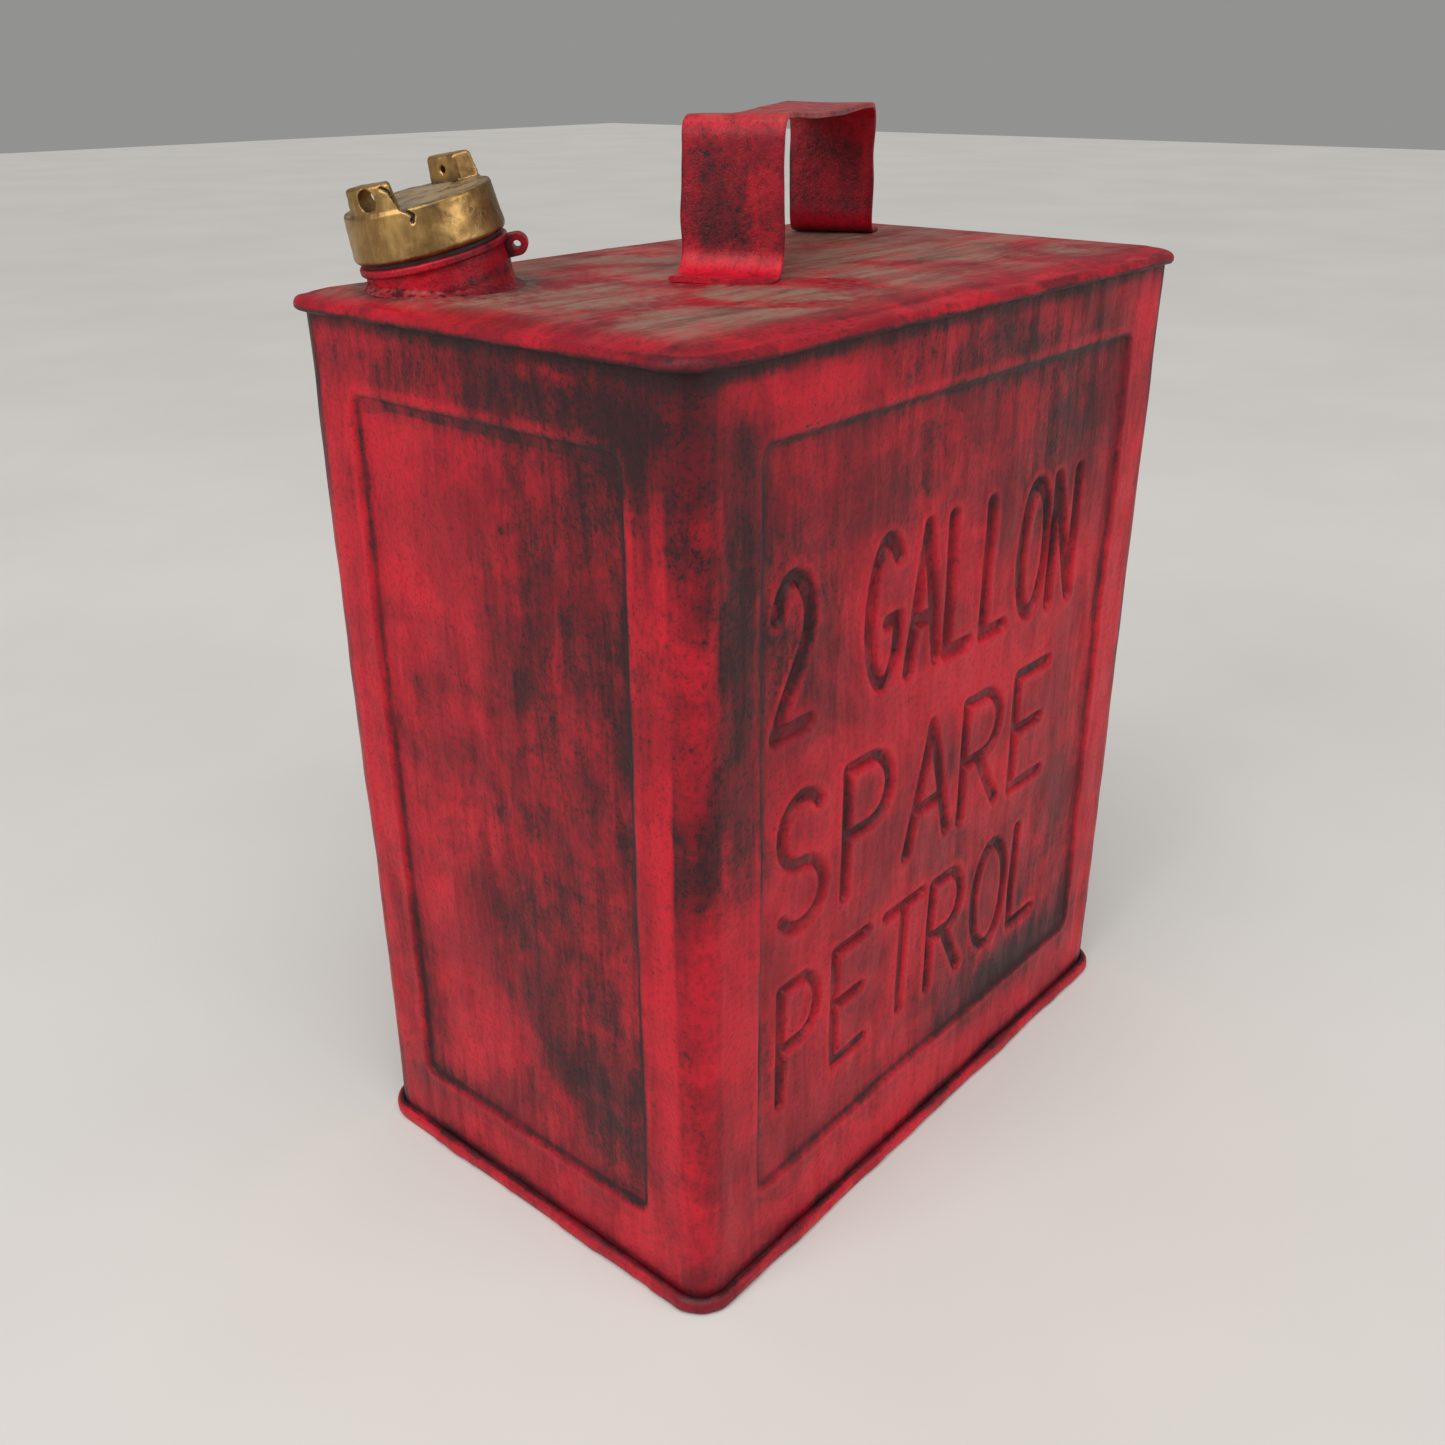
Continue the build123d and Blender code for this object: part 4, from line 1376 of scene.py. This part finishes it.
@dataclass
class NeckGroup:
    """Sleeve, solder, threaded collar, seal ear, washer and brass cap, all on the leaning neck."""

    neck: NeckFrame
    nodes: dict[str, bpy.types.Object]
    sleeve_radius: float = 19.6 * MM
    sleeve_wall: float = 1.0 * MM
    sleeve_top: float = 8.0 * MM
    sleeve_foot: float = -9.0 * MM
    solder_reach: float = 2.9 * MM
    solder_height: float = 1.8 * MM
    crown: float = 24.2 * MM
    cap_foot: float = 11.2 * MM
    lug_heading: float = 191.0
    lug_inner: float = 13.0 * MM
    cap_voxel: float = 0.36 * MM
    flaw_radius: float = 20.0 * MM
    flaw_depth: float = 0.75 * MM
    flaw_path: tuple[tuple[float, float], ...] = (
        (16.0, 30.2), (21.0, 29.0), (24.0, 27.0), (27.5, 24.6), (31.0, 23.6), (35.0, 22.3),
        (33.0, 20.8))

    def copy_node(self, node: str, name: str, voxel: float, passes: int) -> bpy.types.Object:
        """A cast-looking copy of a frame node: merged, remeshed and softened.

        Args:
            node: The frame node that is copied.
            name: The copy's name.
            voxel: Size of the new mesh's cells, in metres.
            passes: How often it is smoothed.

        Returns:
            The copy, with a mesh of its own.
        """
        source = self.nodes[node]
        piece = bpy.data.objects.new(name, source.data.copy())
        bpy.context.collection.objects.link(piece)
        pick(piece)
        bpy.ops.object.mode_set(mode="EDIT")
        bpy.ops.mesh.select_all(action="SELECT")
        bpy.ops.mesh.remove_doubles(threshold=1e-6)
        bpy.ops.mesh.customdata_custom_splitnormals_clear()
        bpy.ops.object.mode_set(mode="OBJECT")
        modify(piece, "REMESH", mode="VOXEL", voxel_size=voxel)
        if passes:
            modify(piece, "SMOOTH", factor=0.5, iterations=passes)
        return piece

    def build_sleeve(self, paint: bpy.types.Material) -> None:
        """Build the soldered-in sleeve."""
        outer, inner = self.sleeve_radius, self.sleeve_radius - self.sleeve_wall
        levels = np.linspace(self.sleeve_foot, self.sleeve_top, 26)
        section = [(outer, s) for s in levels] + [(inner, s) for s in levels[::-3]]
        piece = self.neck.lathe("filler_sleeve", section)
        points = coordinates(piece)
        radius, turn, height = self.neck.measure(points)
        below_rim = height < self.sleeve_top - 0.3 * MM
        skin = (radius > outer - 0.2 * MM) & (height > 1 * MM) & below_rim
        lumps = 0.16 * MM * ripple(points, 14 * MM, 51) + 0.10 * MM * ripple(points, 5 * MM, 52)
        push = np.where(skin, lumps, 0)
        set_coordinates(piece, self.neck.place(radius + push, turn, height))
        # Painted shade in the joint under the collar and just above the solder; the rest of the
        # sleeve is a little lighter.
        hollow = 0.3 * np.exp(-((height - self.sleeve_top) / (0.8 * MM)) ** 2) - 0.25
        hollow += 0.7 * np.exp(-((height - 1.8 * MM) / (1.6 * MM)) ** 2)
        paint_points(piece, "hollow", hollow)
        smooth(piece, 45.0)
        dress(piece, paint)
        settle(piece, "can", "neck_sleeve")

    def build_solder(self, finish: bpy.types.Material) -> None:
        """Build the lumpy bead of solder round the sleeve's foot."""
        count = 150
        turns = np.linspace(0, 2 * math.pi, count, endpoint=False)
        _, _, up = self.neck.axes()
        shape = [(-0.5, -0.25), (1.0, -0.25), (0.95, 0.04), (0.7, 0.16),
                 (0.42, 0.34), (0.2, 0.62), (0.04, 1.0), (-0.5, 0.9)]
        wave = np.column_stack([np.cos(turns), np.sin(turns), np.zeros(count)]) * self.sleeve_radius
        reach = 1 + 0.17 * ripple(wave, 16 * MM, 61) + 0.10 * ripple(wave, 5 * MM, 62)
        height = 1 + 0.16 * ripple(wave, 12 * MM, 63) + 0.10 * ripple(wave, 4 * MM, 64)
        reach, height = self.solder_reach * reach, self.solder_height * height
        rings = []
        for out, lift in shape:
            radius = self.sleeve_radius + out * reach
            level = self.neck.place(radius, turns, np.zeros(count))
            slide = (float(self.neck.foot.z) - level[:, 2] + lift * height) / up[2]
            rings.append(level + slide[:, None] * up)
        points, faces = stack_rings(rings, closed=True)
        piece = mesh_piece("solder_bead", points, faces)
        turn_out(piece)
        modify(piece, "SUBSURF", levels=1, render_levels=1)
        points = coordinates(piece)
        push = 0.07 * MM * ripple(points, 2.4 * MM, 65, 24)
        set_coordinates(piece, points + point_normals(piece) * push[:, None])
        points = coordinates(piece)
        paint_points(piece, "hollow", 0.55 * (ripple(points, 2.4 * MM, 65, 24) < -0.5) + 0.3)
        smooth(piece, 80.0)
        dress(piece, finish)
        settle(piece, "can", "neck_solder")

    def build_seal_ear(self, paint: bpy.types.Material) -> None:
        """Build the small pierced ear for a seal wire."""
        piece = self.copy_node("seal_lug", "seal_ear", 0.18 * MM, 2)
        points = coordinates(piece)
        radius, _, _ = self.neck.measure(points)
        # The ear is lighter towards its tip, and darker with painted shade at its root against the
        # neck.
        paint_points(piece, "wear_and_highlight", 0.5 * ramp_up(radius, 23 * MM, 26 * MM))
        paint_points(piece, "hollow", 0.7 * (1 - ramp_up(radius, 20.6 * MM, 22.5 * MM)))
        smooth(piece, 80.0)
        dress(piece, paint)
        settle(piece, "can", "seal_lug")

    def crack(self, turn: np.ndarray, height: np.ndarray, radius: np.ndarray) -> np.ndarray:
        """Depth of the casting flaw down one lug's end to the wall, in metres.

        Its path is in degrees round from the lug and millimetres up the neck.

        Args:
            turn: Turn of each point about the neck.
            height: Height of each point up the neck.
            radius: Distance of each point from the neck's axis.

        Returns:
            How far each point is pushed in.
        """
        start = self.neck.turn_of(self.lug_heading)
        along = ((turn - start + math.pi) % (2 * math.pi) - math.pi) * self.flaw_radius
        nearest = np.full(turn.shape, 1.0)
        for (a0, s0), (a1, s1) in zip(self.flaw_path, self.flaw_path[1:]):
            x0, x1 = math.radians(a0) * self.flaw_radius, math.radians(a1) * self.flaw_radius
            dx, dz = x1 - x0, (s1 - s0) * MM
            t = np.clip(((along - x0) * dx + (height - s0 * MM) * dz) / (dx * dx + dz * dz), 0, 1)
            nearest = np.minimum(nearest, np.hypot(along - x0 - t * dx, height - s0 * MM - t * dz))
        depth = self.flaw_depth * (1 - ramp_up(nearest, 0.15 * MM, 0.75 * MM))
        return depth * ramp_up(radius, 16.5 * MM, 18 * MM)

    def build_cap(self, brass: bpy.types.Material) -> None:
        """Build the cast brass cap with its two pierced lugs."""
        piece = self.copy_node("filler_cap", "brass_cap", self.cap_voxel, 1)
        points = coordinates(piece)
        normals = point_normals(piece)
        radius, turn, height = self.neck.measure(points)
        shell = ramp_up(radius, 16.2 * MM, 17.5 * MM) * ramp_up(height, 11.4 * MM, 12.6 * MM)
        shell = np.maximum(shell, ramp_up(height, 22.8 * MM, 23.6 * MM))
        cast = 0.09 * MM * ripple(points, 13 * MM, 71)
        cast += 0.035 * MM * ripple(points, 3.2 * MM, 72, 20)
        points = points + normals * (cast * shell - self.crack(turn, height, radius))[:, None]
        set_coordinates(piece, points)
        up = self.neck.axes()[2]
        facing = normals @ up
        on_crown = ramp_up(facing, 0.75, 0.96) * (np.abs(height - self.crown) < 0.8 * MM)
        side = np.abs(radius * np.cos(turn - self.neck.turn_of(self.lug_heading)))
        # Painted shade where the lugs meet the crown and round the cap's lower rim; the crack is
        # set darker as well.
        root = np.exp(-((height - self.crown) / (1.3 * MM)) ** 2)
        root *= np.exp(-((side - self.lug_inner) / (1.6 * MM)) ** 2)
        foot = 1 - ramp_up(height, self.cap_foot + 0.2 * MM, self.cap_foot + 1.8 * MM)
        on_top = ramp_up(facing, 0.8, 0.97) * (height > self.crown + 6 * MM)
        paint_points(piece, "settled",
                     on_crown * (0.55 + 0.45 * (radius < 17 * MM)) + 0.35 * on_top)
        flaw = self.crack(turn, height, radius) / (0.5 * MM)
        paint_points(piece, "hollow", root + 0.6 * foot + flaw)
        smooth(piece, 80.0)
        dress(piece, brass)
        settle(piece, "cap", "filler_cap")

    def build(self, paint: bpy.types.Material, solder: bpy.types.Material,
              brass: bpy.types.Material,
              rubber: bpy.types.Material) -> None:
        """Build the whole neck, and dress the nodes that stay in view."""
        self.build_sleeve(paint)
        self.build_solder(solder)
        self.build_seal_ear(paint)
        self.build_cap(brass)
        dress_node(self.nodes["neck_collar"], paint)
        dress_node(self.nodes["cap_washer"], rubber)
        log.info("neck_collar and cap_washer: frame nodes kept and dressed")


@dataclass
class Studio:
    """Plain pale floor, soft lights and the camera."""

    floor_size: float = 12.0
    floor_color: Color = (0.62, 0.60, 0.57, 1.0)
    sky_color: Color = (0.80, 0.80, 0.79, 1.0)
    sky_strength: float = 0.36
    eye: tuple[float, float, float] = (-0.3492, -0.2788, 0.3426)
    forward: tuple[float, float, float] = (0.6858, 0.5898, -0.4264)
    roll: float = math.radians(-0.3)
    lens: float = 35.16

    def build_floor(self) -> None:
        """Lay the floor and keep it out of the object."""
        deselect_all()
        bpy.ops.mesh.primitive_plane_add(size=self.floor_size, location=(0, 0, 0))
        floor = bpy.context.object
        floor.name = "studio_floor"
        material, g, shader, place = start_material("pale_floor")
        tone = g.remap(g.noise(place, 3.0, 4.0), 0.3, 0.7)
        color = g.mix(tone, self.floor_color,
                      tuple(0.94 * c for c in self.floor_color[:3]) + (1.0,))
        g.tree.links.new(color, shader.inputs["Base Color"])
        shader.inputs["Roughness"].default_value = 0.8
        dress(floor, material)

    def add_softbox(self, name: str, at: tuple, toward: tuple, size: float, watts: float) -> None:
        """Hang one square area light.

        Args:
            name: The light's name.
            at: Its place.
            toward: What it faces.
            size: Its width, in metres.
            watts: Its power.
        """
        light = bpy.data.lights.new(name, "AREA")
        light.size = size
        light.energy = watts
        lamp = bpy.data.objects.new(name, light)
        lamp.location = at
        lamp.rotation_euler = (Vector(toward) - Vector(at)).to_track_quat("-Z", "Y").to_euler()
        bpy.context.collection.objects.link(lamp)

    def add_sky_light(self, at: tuple, power: float) -> None:
        """Hang one broad, very soft light high over the can.

        Args:
            at: The side it shines from.
            power: Its strength.
        """
        light = bpy.data.lights.new("high_window", "SUN")
        light.angle = math.radians(55.0)
        light.energy = power
        lamp = bpy.data.objects.new("high_window", light)
        lamp.rotation_euler = (-Vector(at)).to_track_quat("-Z", "Y").to_euler()
        bpy.context.collection.objects.link(lamp)

    def build_world(self) -> None:
        """Light the room evenly from all round."""
        world = bpy.data.worlds.new("soft_room")
        world.use_nodes = True
        background = next(n for n in world.node_tree.nodes if n.type == "BACKGROUND")
        background.inputs["Color"].default_value = self.sky_color
        background.inputs["Strength"].default_value = self.sky_strength
        bpy.context.scene.world = world
        bpy.context.scene.view_settings.view_transform = "Standard"

    def build_camera(self) -> None:
        """Set the camera where the can shows its near corner from above."""
        camera = bpy.data.cameras.new("camera")
        camera.lens = self.lens
        camera.sensor_width = 36.0
        camera.clip_start = 0.01
        seat = bpy.data.objects.new("camera", camera)
        seat.location = self.eye
        aim = Vector(self.forward).to_track_quat("-Z", "Y").to_matrix()
        turn = aim @ Matrix.Rotation(self.roll, 3, "Z")
        seat.rotation_euler = turn.to_euler()
        bpy.context.collection.objects.link(seat)
        bpy.context.scene.camera = seat

    def build(self) -> None:
        """Build the whole studio."""
        self.build_floor()
        self.add_softbox("key_left", (-1.5, 0.1, 1.0), (0, 0, 0.15), 0.9, 11.0)
        self.add_softbox("front_fill", (0.3, -1.7, 0.9), (0, 0, 0.15), 1.1, 10.0)
        self.add_sky_light((-0.5, -0.4, 1.1), 2.1)
        self.build_world()
        self.build_camera()


def main() -> None:
    """Build the can's looks round the frame, then the studio."""
    logging.basicConfig(level=logging.INFO, format="%(message)s")
    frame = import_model()
    outline = Outline(121.0 * MM, 74.0 * MM, 9.3 * MM)
    neck = NeckFrame()
    body_paint = RedPaint("body_paint").build()
    top_paint = RedPaint("top_paint", dust_amount=0.95, dust_scale=16.0, cloud_scale=20.0,
                         roughness=0.46,
                         brush_turn=(0.0, math.radians(90.0), math.radians(20.0))).build()
    handle_paint = RedPaint("handle_paint", cloud_scale=40.0, wash_and_shade_amount=0.8, streak_along=60.0,
                            dust_amount=0.5, roughness=0.34, bump=0.5).build()
    solder = RedPaint("solder_paint", bright=(0.45, 0.05, 0.05, 1.0), cloud_scale=90.0,
                      wash_and_shade_amount=0.7,
                      speckle_amount=1.0, streak_across=300.0, streak_along=300.0, bump=0.5).build()
    PressedWalls(outline, 2.0 * MM, 283.2 * MM).build(body_paint)
    handle = StrapHandle()
    plates = TopAndBase(PlanShell(outline), neck)
    plates.build_top(top_paint, handle.feet())
    plates.build_base(body_paint)
    handle.build(handle_paint)
    NeckGroup(neck, frame["nodes"]).build(handle_paint, solder, AgedBrass().build(),
                                          BlackRubber().build())
    Studio().build()


if __name__ == "__main__":
    main()
